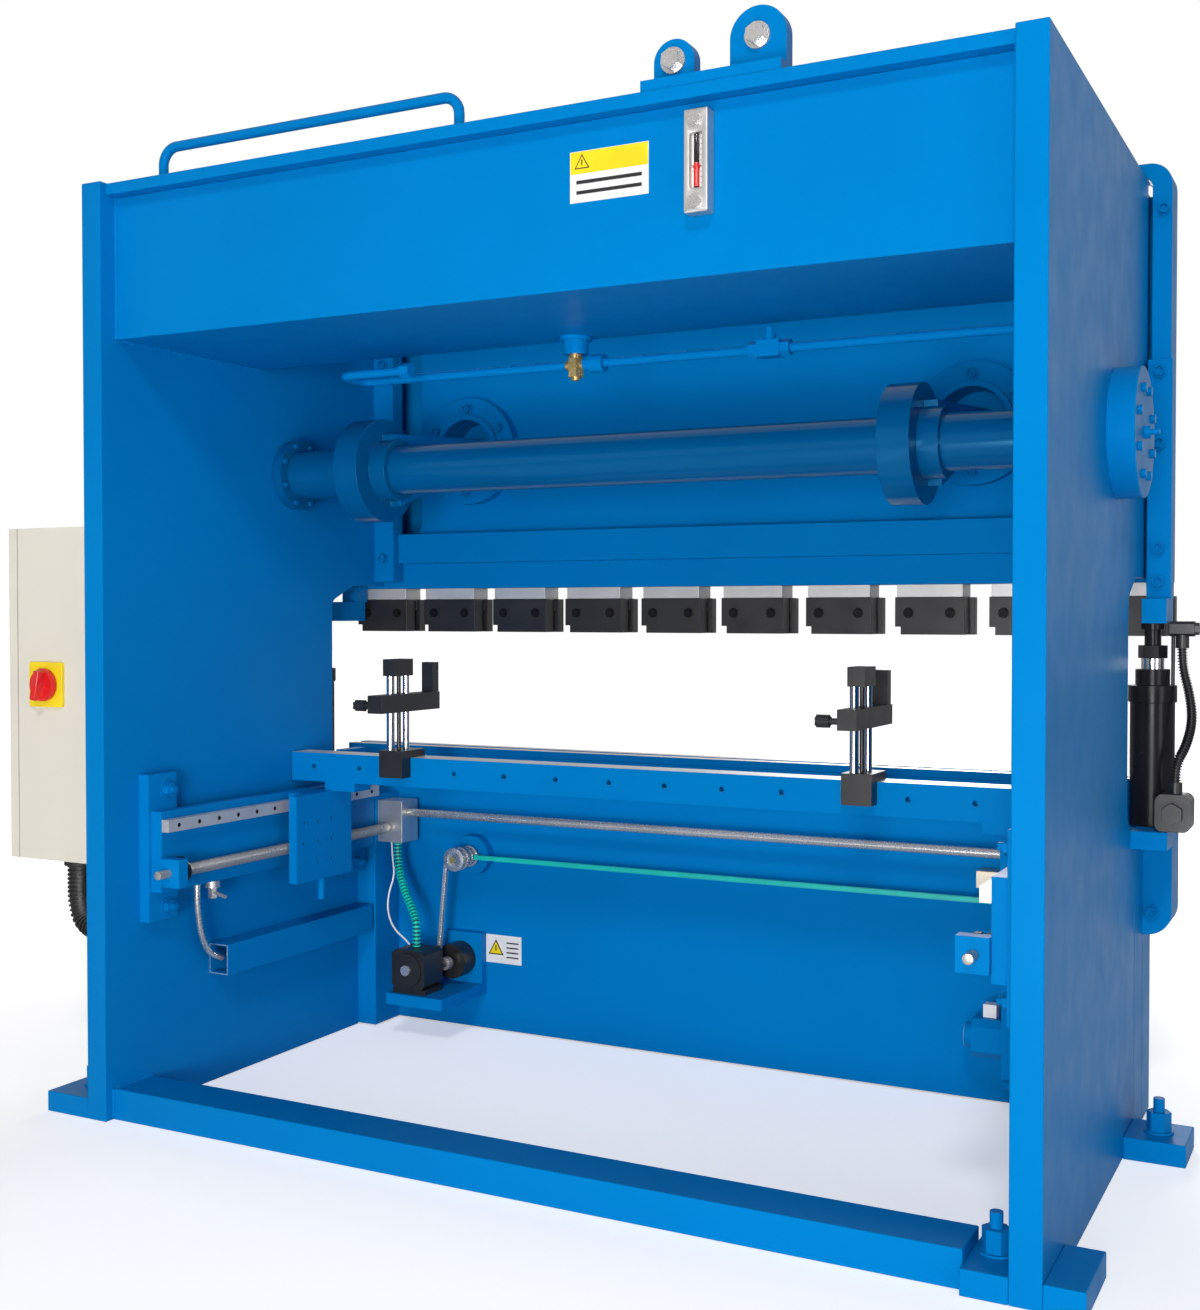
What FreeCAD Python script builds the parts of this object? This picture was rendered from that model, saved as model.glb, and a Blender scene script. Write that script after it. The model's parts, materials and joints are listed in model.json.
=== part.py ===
"""Hydraulic torsion-bar press brake: every separate piece as its own STEP file.

Millimetres, +Z up.  While it is built, x = 0 is the middle of the machine, y = 0 the rear faces of
the side plates and z = 0 the floor; +Y points to the operator.  The last step moves every piece so
that the origin is the bottom centre of the whole machine's box.
"""

import FreeCAD
import Part

import math
import os

V = FreeCAD.Vector

# ------------------------------------------------------------------ side plates and bed
INNER_HALF = 860.0            # half the clear width between the side plates
PLATE_T = 48.0                # side plate thickness
PLATE_OUT = INNER_HALF + PLATE_T
PLATE_H = 1800.0              # side plate height
UPPER_DEPTH = 920.0           # side plate depth above the throat
LOWER_DEPTH = 810.0           # side plate depth below the throat
THROAT_BACK = 715.0           # back edge of the throat
THROAT_LOW = 583.0
THROAT_HIGH = 1045.0
THROAT_CHAMFER = (85.0, 38.0)
THROAT_RADII = (60.0, 22.0, 40.0)
POST_DEPTH = 98.0             # posts between the side plates and the bed
BED_T = 100.0
BED_LOW = 3.0                 # underside of the bed above the floor
BED_TOP = 645.0
BED_EAR_LOW = 365.0           # the wide upper part of the bed starts here
BED_EAR_OUT = 52.0            # and stands out past the side plates by this much
BED_EAR_R = 45.0
TABLE_RAIL_H = 16.0
TABLE_RAIL_W = 78.0
DIE_SLOT = (20.0, 8.0)

# ------------------------------------------------------------------ tank, lugs and rail
TANK_REAR = 40.0
TANK_FRONT = 460.0
TANK_LOW = PLATE_H - 295.0
TANK_HIGH = PLATE_H - 24.0
TANK_WALL = 8.0
TANK_LID_T = 22.0
TANK_LID_OVER = 26.0
GAUGE_X = 370.0               # oil sight gauge
GAUGE_Z = TANK_HIGH - 97.5
SIGHT_H = 159.0
SIGHT_W = 40.0
SIGHT_D = 28.0
SIGHT_BOLT_PITCH = 127.0
SIGHT_BOLT_R = 11.0
SIGHT_WINDOW = (20.0, 84.0, 8.0)
RAIL_ENDS = (103.0 - INNER_HALF, -92.0)
RAIL_Y = 62.0
RAIL_R = 9.5
RAIL_RISE = 64.0
RAIL_BEND = 32.0
LUG_PAD = (272.0, 508.0, 18.0, 140.0, 18.0)
LUG_T = 26.0
LUG_Y = 60.0
LUG_EYES = ((311.0, 35.0, 38.0), (454.0, 47.0, 54.0))     # x, radius, height above the pad
LUG_BOLT_R = 12.0

# ------------------------------------------------------------------ oil pipes under the tank
PIPE_R = 8.5
PIPE_Y = 420.0
PIPE_Z = TANK_LOW - 53.0
PIPE_BEND = 30.0
PIPE_LEFT_X = -548.0
PIPE_HOOK = 90.0
OUTLET_X = -60.0
OUTLET_R = 24.0
BRANCH = 19.0                 # reach of the outlet elbow's two branches
TEE_X = 335.0

# ------------------------------------------------------------------ torsion bar
TORSION_Y = 575.0
TORSION_Z = 1286.0
TORSION_R = 52.5
JOURNAL_CLEAR = 0.08          # radial running clearance in the bearing rings
PLATE_HOLE_CLEAR = 6.0
BEARING_RING_R = 76.0
BEARING_RING_T = 25.0
COVER_R = 112.0
COVER_T = 46.0
COVER_BOLTS = 8
LEVER_X = (222.0 - INNER_HALF, INNER_HALF - 314.0)     # middle of each lever's drum
ARM_OFFSET = 33.0             # the arm and the ram's boss stand this far along from the drum
DRUM_R = 111.0
DRUM_T = 60.0
HUB_STEP = 13.0               # the weld hubs each side of a lever, proud of the bar
ARM_T = 46.0
ARM_TIP_R = 30.0
ARM_ROOT_HALF = 78.0
BOSS_Z = 1358.0

# ------------------------------------------------------------------ ram
RAM_GAP = 5.0                 # side plate front edge to the ram's rear face
RAM_T = 75.0
RAM_LOW = 1038.0
RAM_HIGH = PLATE_H + 35.0
RAM_HALF = PLATE_OUT + 42.0
RAM_TOP_R = 42.0
WINDOW_IN = INNER_HALF - 106.0             # inner edge of a ram window
WINDOW_OUT = PLATE_OUT + 6.0
WINDOW_LOW = 1168.0
WINDOW_HIGH = RAM_HIGH - 22.0
WINDOW_R = 26.0
SHELF_LOW = 1098.0
SHELF_HIGH = 1168.0
SHELF_HALF = INNER_HALF - 57.0
SHELF_T = 28.0
BOSS_R = 124.0
BOSS_T = 28.0
BOSS_BORE = 72.0
BOSS_POCKET = 48.0
BOSS_BOLTS = 6
BOSS_BOLT_PCD = 196.0
SIDE_BLOCK_X = (PLATE_OUT + 6.0, PLATE_OUT + 50.0)
SIDE_BLOCK_T = 42.0
SIDE_BLOCK_Z = (1006.0, 1456.0)
SIDE_BLOCK_BOLTS = (1434.0, 1299.0, 1102.0, 1039.0)
LEG_BOLT_Z = PLATE_H - 54.0
GUIDE_X = (INNER_HALF + 8.0, PLATE_OUT - 8.0)
GUIDE_Z = (1290.0, PLATE_H - 10.0)
GUIDE_HEAD = (INNER_HALF - 120.0, PLATE_OUT + 26.0, 26.0)
GUIDE_HEAD_LOW = 1130.0
GUIDE_RUN = 0.5
STRIP_X = INNER_HALF - 55.0               # inner edge of the strip along each side plate's front edge
STRIP_T = 40.0
STRIP_Z = (THROAT_HIGH + 9.0, PLATE_H - 100.0)

# ------------------------------------------------------------------ tool clamps
CLAMP_PITCH = 194.0
CLAMP_W = 144.0
CLAMPS = int((2 * RAM_HALF - CLAMP_W) // CLAMP_PITCH) + 1
CLAMP_REAR = 930.0
CLAMP_FRONT = 996.0
CLAMP_STRIP_H = 26.0
CLAMP_BODY_H = 77.0
CLAMP_JAW_T = 36.0
CLAMP_SLOT = 8.0
SCREW_R = 8.0

# ------------------------------------------------------------------ cylinders
CYL_X = PLATE_OUT + 22.0
CYL_Y = 858.0
CYL_LEFT_OUT = 84.0           # the left cylinder stands this much further out than the right one
CYL_R = 40.0
CYL_BORE = 31.5
CYL_LOW = 583.0
CYL_HIGH = 845.0
GLAND_R = 43.5
GLAND_H = 32.0
WIPER_R = 31.0
WIPER_H = 30.0
ROD_R = 20.5
ROD_CLEAR = 0.05
ROD_NUT_AF = 46.0
ROD_FLANGE_R = 21.0            # clears the side plate when the ram is up
STUD_R = 15.0
LUG_LOW = 960.0
PISTON_H = 32.0
BRACKET_T = 33.0
PORT_Y = 788.0

# ------------------------------------------------------------------ floor parts
BEAM_H = 60.0
BEAM_Y = (20.0, 120.0)
FOOT_H = 40.0
FOOT_OUT = PLATE_OUT + 107.0
FOOT_NEAR_RIGHT = PLATE_OUT + 60.0       # the rear right foot is cut shorter outside the plate
FOOT_NEAR_Y = (0.0, 160.0)
FOOT_FAR_Y = (690.0, 810.0)
FOOT_IN_X = INNER_HALF - 70.0
ANCHOR_R = 10.0
ANCHOR_AF = 38.0

# ------------------------------------------------------------------ cabinet
CAB_X = (-PLATE_OUT - 244.0, -PLATE_OUT)
CAB_Y = (60.0, 460.0)
CAB_Z = (482.0, 1150.0)
CAB_WALL = 3.0
DOOR_T = 22.0
DOOR_GAP = 3.0
HINGE_R = 6.0
SWITCH_X = -PLATE_OUT - 161.0
SWITCH_Z = 836.0
SWITCH_PLATE = 90.0
SWITCH_PLATE_T = 8.0
SWITCH_KNOB_R = 33.0
SWITCH_KNOB_T = 30.0
CONDUIT_R = 27.0
CONDUIT_BEND = 100.0

# ------------------------------------------------------------------ back gauge
GP_T = 25.0                   # gauge base plate
GP_Y = (100.0, 806.0)
GP_Z = (430.0, 590.0)
END_BAR_Y = (92.0, 172.0)
END_BAR_Z = (370.0, 662.0)
LIN_W = 24.0
LIN_T = 18.0
LIN_Z = 562.0
LIN_Y = (102.0, 802.0)
LIN_HOLES = 12
SCREW_X = INNER_HALF - 75.0
SCREW_Z = 472.0
SCREW_ROD_R = 12.5
SCREW_END_R = 8.5
CAR_X = (INNER_HALF - 115.0, INNER_HALF - 95.0)        # carriage plate
CAR_Y = (436.0, 630.0)
CAR_Z = (400.0, 588.0)
BEAM_GY = (560.0, 620.0)
BEAM_GZ = (607.0, 670.0)
BEAM_END_GAP = 4.0
BEAM_HOLES = 14
GEAR_Y = (822.0, 888.0)
GEAR_X = (INNER_HALF - 118.0, INNER_HALF - 50.0)
GEAR_Z = (438.0, 536.0)
SHAFT_R = 9.5
SHAFT_Y = 852.0
SHAFT_Z = 508.0
CHANNEL_X = (INNER_HALF - 50.0, INNER_HALF)
CHANNEL_Y = (292.0, 800.0)
CHANNEL_Z = (228.0, 292.0)
CHANNEL_WALL = 4.0

# ------------------------------------------------------------------ gauge fingers
FINGER_X = (-566.0, 463.0)
FINGER_TOP = 881.0
FINGER_FOOT = (29.0, 526.0, 42.0, 16.0)     # half width, rear face, depth below and above the beam's top
FINGER_CAP = (17.0, 524.0, 588.0, 36.0)     # half width, rear, front, height
FINGER_POSTS = ((-8.0, 539.0, 8.5), (7.0, 575.0, 7.0))     # offset, y, radius
FINGER_JACK = (1.0, 557.0, 4.5)
FINGER_ARM_Z = (768.0, 806.0)
FINGER_ARM_Y = (470.0, 690.0)
FINGER_ARM_HALF = 18.0
FINGER_STOP = (15.0, 22.0, 871.0)           # half width, thickness, top
KNOB_Y = 492.0
KNOB_R = 12.0

# ------------------------------------------------------------------ drive
PULLEY_X = 272.0 - INNER_HALF
PULLEY_Z = 412.0
PULLEY_R = 27.0
PULLEY_REAR = 806.0
MOTOR_X = 202.0 - INNER_HALF
MOTOR_Z = 168.0
MOTOR_Y = (722.0, 800.0)
MOTOR_TAIL = 40.0             # the rear body and the pulley sit this far to the side
MOTOR_HALF = 44.0
MOTOR_FOOT = 12.0
MOTOR_REAR_Y = 838.0
MOTOR_PULLEY_R = 15.0
BRACKET_WEB = 22.0
BELT_W = 12.0
BELT_T = 4.0
BELT_CLEAR = 0.4
RIBBED_BELT = (14.0, 10.0)     # width and thickness of the belt up from the motor
CURLY_R = 10.0                # curly signal cable
STAND_LOW = 290.0
STAND_X = INNER_HALF - 184.0               # left face of the right-hand stand


# ------------------------------------------------------------------ helpers
def box(x, y, z):
    """A block between (low, high) pairs on the three axes, in either order."""
    low = V(min(x), min(y), min(z))
    return Part.makeBox(abs(x[1] - x[0]), abs(y[1] - y[0]), abs(z[1] - z[0]), low)


def rod(radius, start, end):
    """A round bar from start to end."""
    a = V(*start)
    b = V(*end)
    return Part.makeCylinder(radius, (b - a).Length, a, b - a)


def ring(outer, inner, start, end):
    return rod(outer, start, end).cut(rod(inner, start, end))


def hexagon(across, start, end):
    """A hexagonal bar; across is the size across its flats."""
    a = V(*start)
    along = (V(*end) - a)
    upright = abs(along.z) > 0.5 * along.Length
    side = V(1, 0, 0) if upright else V(0, 0, 1)
    reach = across / math.sqrt(3.0)
    turn = [FreeCAD.Rotation(along, 60.0 * i).multVec(side) for i in range(7)]
    wire = Part.makePolygon([a + t * reach for t in turn])
    return Part.Face(wire).extrude(along)


def rounded_path(points, radii, closed=False):
    """A wire of straight runs joined by tangent arcs; radii has one value per corner."""
    points = [V(*p) for p in points]
    count = len(points)
    corners = range(count) if closed else range(1, count - 1)
    starts = list(points)
    ends = list(points)
    arcs = {}
    for i, radius in zip(corners, radii):
        here = points[i]
        back = (points[i - 1] - here).normalize()
        ahead = (points[(i + 1) % count] - here).normalize()
        if radius <= 0:
            continue
        half = back.getAngle(ahead) / 2.0
        trim = radius / math.tan(half)
        middle = (back + ahead).normalize()
        starts[i] = here + back * trim
        ends[i] = here + ahead * trim
        centre = here + middle * (radius / math.sin(half))
        arcs[i] = Part.Arc(starts[i], centre - middle * radius, ends[i])
    edges = []
    for i in range(count):
        if i in arcs:
            edges.append(arcs[i].toShape())
        if i < count - 1 or closed:
            edges.append(Part.LineSegment(ends[i], starts[(i + 1) % count]).toShape())
    return Part.Wire(edges)


def plate(points, radii, along):
    """A closed outline with rounded corners, extruded along a vector."""
    return Part.Face(rounded_path(points, radii, closed=True)).extrude(V(*along))


def tube_along(path, radius, inner=0.0):
    """A round bar or tube swept along a wire."""
    start = path.Edges[0].valueAt(path.Edges[0].FirstParameter)
    direction = path.Edges[0].tangentAt(path.Edges[0].FirstParameter)

    def sweep(r):
        profile = Part.Wire([Part.makeCircle(r, start, direction)])
        return path.makePipeShell([profile], True, False)

    solid = sweep(radius)
    return solid.cut(sweep(inner)) if inner else solid


def hose_path(points):
    """A hose's route: every arc is as large as its two runs allow."""
    vectors = [V(*p) for p in points]
    radii = []
    for a, b, c in zip(vectors, vectors[1:], vectors[2:]):
        turn = (b - a).getAngle(c - b)
        run = min((b - a).Length, (c - b).Length)
        radii.append(0.45 * run / math.tan(turn / 2.0))
    return rounded_path(points, radii)


def mirror(shape):
    return shape.mirror(V(0, 0, 0), V(1, 0, 0))


def pair(shape):
    """The right-hand piece and its mirror image on the left."""
    return [shape, mirror(shape)]


def cylinder_pair(shape):
    """A cylinder's piece on the right, and its mirror image on the left, further out."""
    left = mirror(shape)
    left.translate(V(-CYL_LEFT_OUT, 0, 0))
    return [shape, left]


def cap_screw(radius, head_r, centre, normal, head=10.0, socket=True):
    """A socket-head screw's head standing on a face, with a washer under it."""
    c = V(*centre)
    n = V(*normal)
    washer = rod(head_r * 1.35, c, c + n * 2.5)
    body = rod(head_r, c + n * 2.5, c + n * (2.5 + head))
    if socket:
        body = body.cut(hexagon(radius * 1.1, c + n * (2.5 + head * 0.45), c + n * (3.5 + head)))
    return washer.fuse(body)


def hex_bolt(across, centre, normal, head=10.0, stud=0.0):
    c = V(*centre)
    n = V(*normal)
    washer = rod(across * 0.72, c, c + n * 3.0)
    body = hexagon(across, c + n * 3.0, c + n * (3.0 + head))
    bolt = washer.fuse(body)
    if stud:
        bolt = bolt.fuse(rod(across * 0.28, c + n * (3.0 + head), c + n * (3.0 + head + stud)))
    return bolt


# ------------------------------------------------------------------ frame weldment
def side_plate():
    """The right-hand side plate with its throat and the hole for the torsion bar."""
    outline = [
        (INNER_HALF, 0, 0),
        (INNER_HALF, LOWER_DEPTH, 0),
        (INNER_HALF, LOWER_DEPTH, THROAT_LOW),
        (INNER_HALF, THROAT_BACK, THROAT_LOW),
        (INNER_HALF, THROAT_BACK, THROAT_HIGH - THROAT_CHAMFER[1]),
        (INNER_HALF, THROAT_BACK + THROAT_CHAMFER[0], THROAT_HIGH),
        (INNER_HALF, UPPER_DEPTH, THROAT_HIGH),
        (INNER_HALF, UPPER_DEPTH, PLATE_H),
        (INNER_HALF, 0, PLATE_H),
    ]
    low_r, high_r, chamfer_r = THROAT_RADII
    solid = plate(outline, [0, 0, 0, low_r, high_r, chamfer_r, 0, 0, 0], (PLATE_T, 0, 0))
    hole = rod(
        TORSION_R + PLATE_HOLE_CLEAR,
        (INNER_HALF - 1, TORSION_Y, TORSION_Z),
        (INNER_HALF + PLATE_T + 1, TORSION_Y, TORSION_Z),
    )
    return solid.cut(hole)


def oil_tank():
    """A steel box between the side plates, open at the top where the lid closes it."""
    outer = box((-INNER_HALF, INNER_HALF), (TANK_REAR, TANK_FRONT), (TANK_LOW, TANK_HIGH))
    inside = box(
        (-INNER_HALF + TANK_WALL, INNER_HALF - TANK_WALL),
        (TANK_REAR + TANK_WALL, TANK_FRONT - TANK_WALL),
        (TANK_LOW + TANK_WALL, TANK_HIGH + 1),
    )
    return outer.cut(inside)


def tank_lid():
    return box(
        (-INNER_HALF, INNER_HALF),
        (TANK_REAR - TANK_LID_OVER, TANK_FRONT + 10),
        (TANK_HIGH, TANK_HIGH + TANK_LID_T),
    )


LID_TOP = TANK_HIGH + TANK_LID_T


def handrail():
    """A bent round tube standing on the tank lid."""
    top = LID_TOP + RAIL_RISE
    points = [
        (RAIL_ENDS[0], RAIL_Y, LID_TOP),
        (RAIL_ENDS[0], RAIL_Y, top),
        (RAIL_ENDS[1], RAIL_Y, top),
        (RAIL_ENDS[1], RAIL_Y, LID_TOP),
    ]
    return tube_along(rounded_path(points, [RAIL_BEND, RAIL_BEND]), RAIL_R, RAIL_R - 2.5)


def lifting_lugs():
    """The pad on the lid with its two eyes, each braced by a gusset."""
    x0, x1, y0, y1, thick = LUG_PAD
    pad_top = LID_TOP + thick
    solid = box((x0, x1), (y0, y1), (LID_TOP, pad_top))
    for x, radius, height in LUG_EYES:
        centre = (x, LUG_Y, pad_top + height)
        eye = rod(radius, centre, (x, LUG_Y + LUG_T, pad_top + height))
        web = box((x - radius, x + radius), (LUG_Y, LUG_Y + LUG_T), (pad_top, pad_top + height))
        gusset = plate(
            [
                (x - 6, LUG_Y + LUG_T, pad_top),
                (x - 6, y1 - 6, pad_top),
                (x - 6, LUG_Y + LUG_T, pad_top + height),
            ],
            [0, 0, 0],
            (12, 0, 0),
        )
        solid = solid.fuse([eye, web, gusset])
        solid = solid.cut(rod(LUG_BOLT_R + 0.5, (x, LUG_Y - 1, centre[2]), (x, LUG_Y + LUG_T + 1, centre[2])))
    return solid.removeSplitter()


def sight_gauge():
    """The oil level gauge: a die-cast body with a window bar seated in it."""
    face = TANK_REAR
    rear = face - SIGHT_D
    body = box(
        (GAUGE_X - SIGHT_W / 2, GAUGE_X + SIGHT_W / 2),
        (rear, face),
        (GAUGE_Z - SIGHT_H / 2, GAUGE_Z + SIGHT_H / 2),
    )
    upright = [e for e in body.Edges if abs(e.tangentAt(0).z) > 0.9 and e.BoundBox.YMax < rear + 1]
    body = body.makeChamfer(5.0, upright)
    width, height, depth = SIGHT_WINDOW
    window = box(
        (GAUGE_X - width / 2, GAUGE_X + width / 2),
        (rear, rear + depth),
        (GAUGE_Z - height / 2, GAUGE_Z + height / 2),
    )
    slot = window.copy()
    pane = window.cut(box((-9999, 9999), (rear - 1, rear + 2), (0, 9999)))
    return [body.cut(slot), pane]


def bed():
    """The fixed bed: a wide upper part across the posts and a narrower skirt to the floor."""
    rear = LOWER_DEPTH + POST_DEPTH
    half = INNER_HALF + PLATE_T
    wide = half + BED_EAR_OUT
    outline = [
        (-half, rear, BED_LOW),
        (half, rear, BED_LOW),
        (half, rear, BED_EAR_LOW),
        (wide, rear, BED_EAR_LOW),
        (wide, rear, BED_TOP),
        (-wide, rear, BED_TOP),
        (-wide, rear, BED_EAR_LOW),
        (-half, rear, BED_EAR_LOW),
    ]
    return plate(outline, [0, 0, 0, BED_EAR_R, 0, 0, BED_EAR_R, 0], (0, BED_T, 0))


BED_REAR = LOWER_DEPTH + POST_DEPTH
POST_FACE = INNER_HALF + PLATE_T - POST_DEPTH       # inner face of the posts


def bed_posts():
    half = INNER_HALF + PLATE_T
    post = box((half - POST_DEPTH, half), (LOWER_DEPTH, BED_REAR), (BED_LOW, THROAT_LOW - BRACKET_T))
    return pair(post)


def table_rail():
    """The ground steel strip along the bed that carries the dies, with its tenon slot."""
    half = INNER_HALF + PLATE_T + BED_EAR_OUT
    top = BED_TOP + TABLE_RAIL_H
    low = BED_REAR + 2
    solid = box((-half, half), (low, low + TABLE_RAIL_W), (BED_TOP, top))
    slot_w, slot_d = DIE_SLOT
    middle = low + TABLE_RAIL_W / 2
    width = (middle - slot_w / 2, middle + slot_w / 2)
    return solid.cut(box((-half - 1, half + 1), width, (top - slot_d, top + 1)))


def feet():
    """Levelling and anchor blocks welded outside the side plates and inside the right-hand one."""
    outside = INNER_HALF + PLATE_T
    near_left = box((-FOOT_OUT, -outside), FOOT_NEAR_Y, (0, FOOT_H))
    near_right = box((outside, FOOT_NEAR_RIGHT), FOOT_NEAR_Y, (0, FOOT_H))
    front = box((outside, FOOT_OUT), FOOT_FAR_Y, (0, FOOT_H))
    inner = box((FOOT_IN_X, INNER_HALF), FOOT_NEAR_Y, (0, FOOT_H))
    return [near_left, near_right, inner] + pair(front)


def anchor_places():
    x = (INNER_HALF + PLATE_T + FOOT_OUT) / 2
    near = FOOT_NEAR_Y[1] * 0.5
    front = sum(FOOT_FAR_Y) / 2
    inner = ((FOOT_IN_X + INNER_HALF) / 2, near)
    return [(-x, near), (x, front), (-x, front), inner]


def anchor_bolts():
    """Anchor studs, each with a washer and a tall nut on its foot block."""
    solids = []
    for x, y in anchor_places():
        washer = rod(ANCHOR_AF * 0.68, (x, y, FOOT_H), (x, y, FOOT_H + 4))
        nut = hexagon(ANCHOR_AF, (x, y, FOOT_H + 4), (x, y, FOOT_H + 38))
        stud = rod(ANCHOR_R, (x, y, FOOT_H + 38), (x, y, FOOT_H + 62))
        solids.append(washer.fuse([nut, stud]).removeSplitter())
    return solids


def floor_beam():
    return box((-INNER_HALF, FOOT_IN_X), BEAM_Y, (0, BEAM_H))


def guide_rails():
    """T-shaped ram guides on the side plates' front edges, and the strips behind the ram."""
    x0, x1 = GUIDE_X
    ram_front = UPPER_DEPTH + RAM_GAP + RAM_T
    stem = box((x0, x1), (UPPER_DEPTH, ram_front + GUIDE_RUN), GUIDE_Z)
    h0, h1, thick = GUIDE_HEAD
    head_z = (GUIDE_HEAD_LOW, GUIDE_Z[1])
    head = box((h0, h1), (ram_front + GUIDE_RUN, ram_front + GUIDE_RUN + thick), head_z)
    strip = box((STRIP_X, INNER_HALF), (UPPER_DEPTH - STRIP_T, UPPER_DEPTH), STRIP_Z)
    return pair(stem.fuse(head).removeSplitter()) + pair(strip)


def bearing_parts():
    """Each torsion bearing: a ring inside the side plate and a closed cover outside it."""
    out = INNER_HALF + PLATE_T
    inner = ring(
        BEARING_RING_R,
        TORSION_R + JOURNAL_CLEAR,
        (INNER_HALF - BEARING_RING_T, TORSION_Y, TORSION_Z),
        (INNER_HALF, TORSION_Y, TORSION_Z),
    )
    cover = rod(COVER_R, (out, TORSION_Y, TORSION_Z), (out + COVER_T, TORSION_Y, TORSION_Z))
    edge = [e for e in cover.Edges if abs(e.CenterOfMass.x - out - COVER_T) < 0.5]
    cover = cover.makeFillet(3.0, edge)
    nipple = rod(11, (out + COVER_T, TORSION_Y, TORSION_Z), (out + COVER_T + 10, TORSION_Y, TORSION_Z))
    tip = rod(5, (out + COVER_T + 10, TORSION_Y, TORSION_Z), (out + COVER_T + 24, TORSION_Y, TORSION_Z))
    return pair(inner) + pair(cover.fuse([nipple, tip]))


# ------------------------------------------------------------------ oil pipes
def oil_pipes():
    """Suction outlet, the pipe each way from it, and a tee with its plug."""
    y = PIPE_Y
    z = PIPE_Z
    outlet = ring(OUTLET_R, 10, (OUTLET_X, y, TANK_LOW - 34), (OUTLET_X, y, TANK_LOW))
    lip = ring(OUTLET_R + 7, 10, (OUTLET_X, y, TANK_LOW - 8), (OUTLET_X, y, TANK_LOW))
    outlet = outlet.fuse(lip)
    points = [
        (OUTLET_X - BRANCH, y, z),
        (PIPE_LEFT_X, y, z),
        (PIPE_LEFT_X, y - PIPE_HOOK, z),
        (PIPE_LEFT_X + 150, y - PIPE_HOOK, z),
    ]
    left = tube_along(rounded_path(points, [PIPE_BEND, PIPE_BEND]), PIPE_R)
    nut_x = PIPE_LEFT_X + 150
    nut = hexagon(26, (nut_x, y - PIPE_HOOK, z), (nut_x + 22, y - PIPE_HOOK, z))
    union = rod(17, (OUTLET_X + 32, y, z), (OUTLET_X + 62, y, z))
    union = union.fuse(rod(13, (OUTLET_X + BRANCH, y, z), (OUTLET_X + 32, y, z)))
    right = rod(PIPE_R, (OUTLET_X + 62, y, z), (TEE_X - 40, y, z))
    tee = box((TEE_X - 22, TEE_X + 22), (y - 15, y + 15), (z - 15, z + 15))
    tee = tee.fuse(hexagon(27, (TEE_X - 40, y, z), (TEE_X - 22, y, z)))
    tee = tee.fuse(hexagon(27, (TEE_X + 22, y, z), (TEE_X + 40, y, z)))
    tee = tee.fuse(rod(11, (TEE_X, y, z + 15), (TEE_X, y, z + 26)))
    tee = tee.fuse(hexagon(16, (TEE_X, y, z + 26), (TEE_X, y, z + 38)))
    far = rod(PIPE_R, (TEE_X + 40, y, z), (INNER_HALF, y, z))
    return [outlet, left, nut, union, right, tee.removeSplitter(), far]


def brass_fittings():
    """The brass elbow under the tank outlet and the small air valve by the cable channel."""
    y = PIPE_Y
    z = PIPE_Z
    stem = rod(13, (OUTLET_X, y, z + 12), (OUTLET_X, y, TANK_LOW - 34))
    body = hexagon(28, (OUTLET_X, y, z - 24), (OUTLET_X, y, z + 12))
    branch = rod(9, (OUTLET_X - BRANCH, y, z), (OUTLET_X + BRANCH, y, z))
    plug = rod(8, (OUTLET_X, y, z - 30), (OUTLET_X, y, z - 24))
    pad_z = GP_Z[0]
    x = -INNER_HALF + GP_T + 12
    base = rod(15, (x, 262, pad_z - 14), (x, 262, pad_z))
    valve = hexagon(17, (x, 262, pad_z - 36), (x, 262, pad_z - 14))
    handle = rod(4, (x + 8, 262, pad_z - 25), (x + 34, 262, pad_z - 32))
    return [stem.fuse([body, branch, plug]).removeSplitter(), base.fuse([valve, handle]).removeSplitter()]


# ------------------------------------------------------------------ torsion bar
def torsion_bar():
    half = INNER_HALF + PLATE_T - 4
    return rod(TORSION_R, (-half, TORSION_Y, TORSION_Z), (half, TORSION_Y, TORSION_Z))


ARM_RISE = BOSS_Z - TORSION_Z
ARM_TIP_Y = UPPER_DEPTH + RAM_GAP + 4.0


def torsion_lever(drum_x):
    """A drum clamped on the bar, with a tapered arm whose round tip sits in the ram's boss."""
    reach = ARM_TIP_Y - TORSION_Y
    length = math.hypot(reach, ARM_RISE)
    angle = math.degrees(math.atan2(ARM_RISE, reach))
    y0 = TORSION_Y
    z0 = TORSION_Z
    half = DRUM_T / 2
    drum = rod(DRUM_R, (drum_x - half, y0, z0), (drum_x + half, y0, z0))
    x = drum_x + ARM_OFFSET - ARM_T / 2
    outline = [
        (x, y0, z0 - ARM_ROOT_HALF),
        (x, y0 + length, z0 - ARM_TIP_R),
        (x, y0 + length, z0 + ARM_TIP_R),
        (x, y0, z0 + ARM_ROOT_HALF),
    ]
    arm = plate(outline, [0, 0, 0, 0], (ARM_T, 0, 0))
    tip = rod(ARM_TIP_R, (x, y0 + length, z0), (x + ARM_T, y0 + length, z0))
    arm = arm.fuse(tip)
    arm.rotate(V(x, y0, z0), V(1, 0, 0), angle)
    hubs = [
        rod(TORSION_R + HUB_STEP, (drum_x - half - HUB_STEP, y0, z0), (drum_x - half, y0, z0)),
        rod(TORSION_R + HUB_STEP, (drum_x + half, y0, z0), (x + ARM_T + HUB_STEP, y0, z0)),
    ]
    bore = rod(TORSION_R, (drum_x - DRUM_T, y0, z0), (x + ARM_T + DRUM_T, y0, z0))
    return drum.fuse([arm] + hubs).cut(bore).removeSplitter()


# ------------------------------------------------------------------ ram
RAM_REAR = UPPER_DEPTH + RAM_GAP
BOSS_X = [x + ARM_OFFSET for x in LEVER_X]


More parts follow.
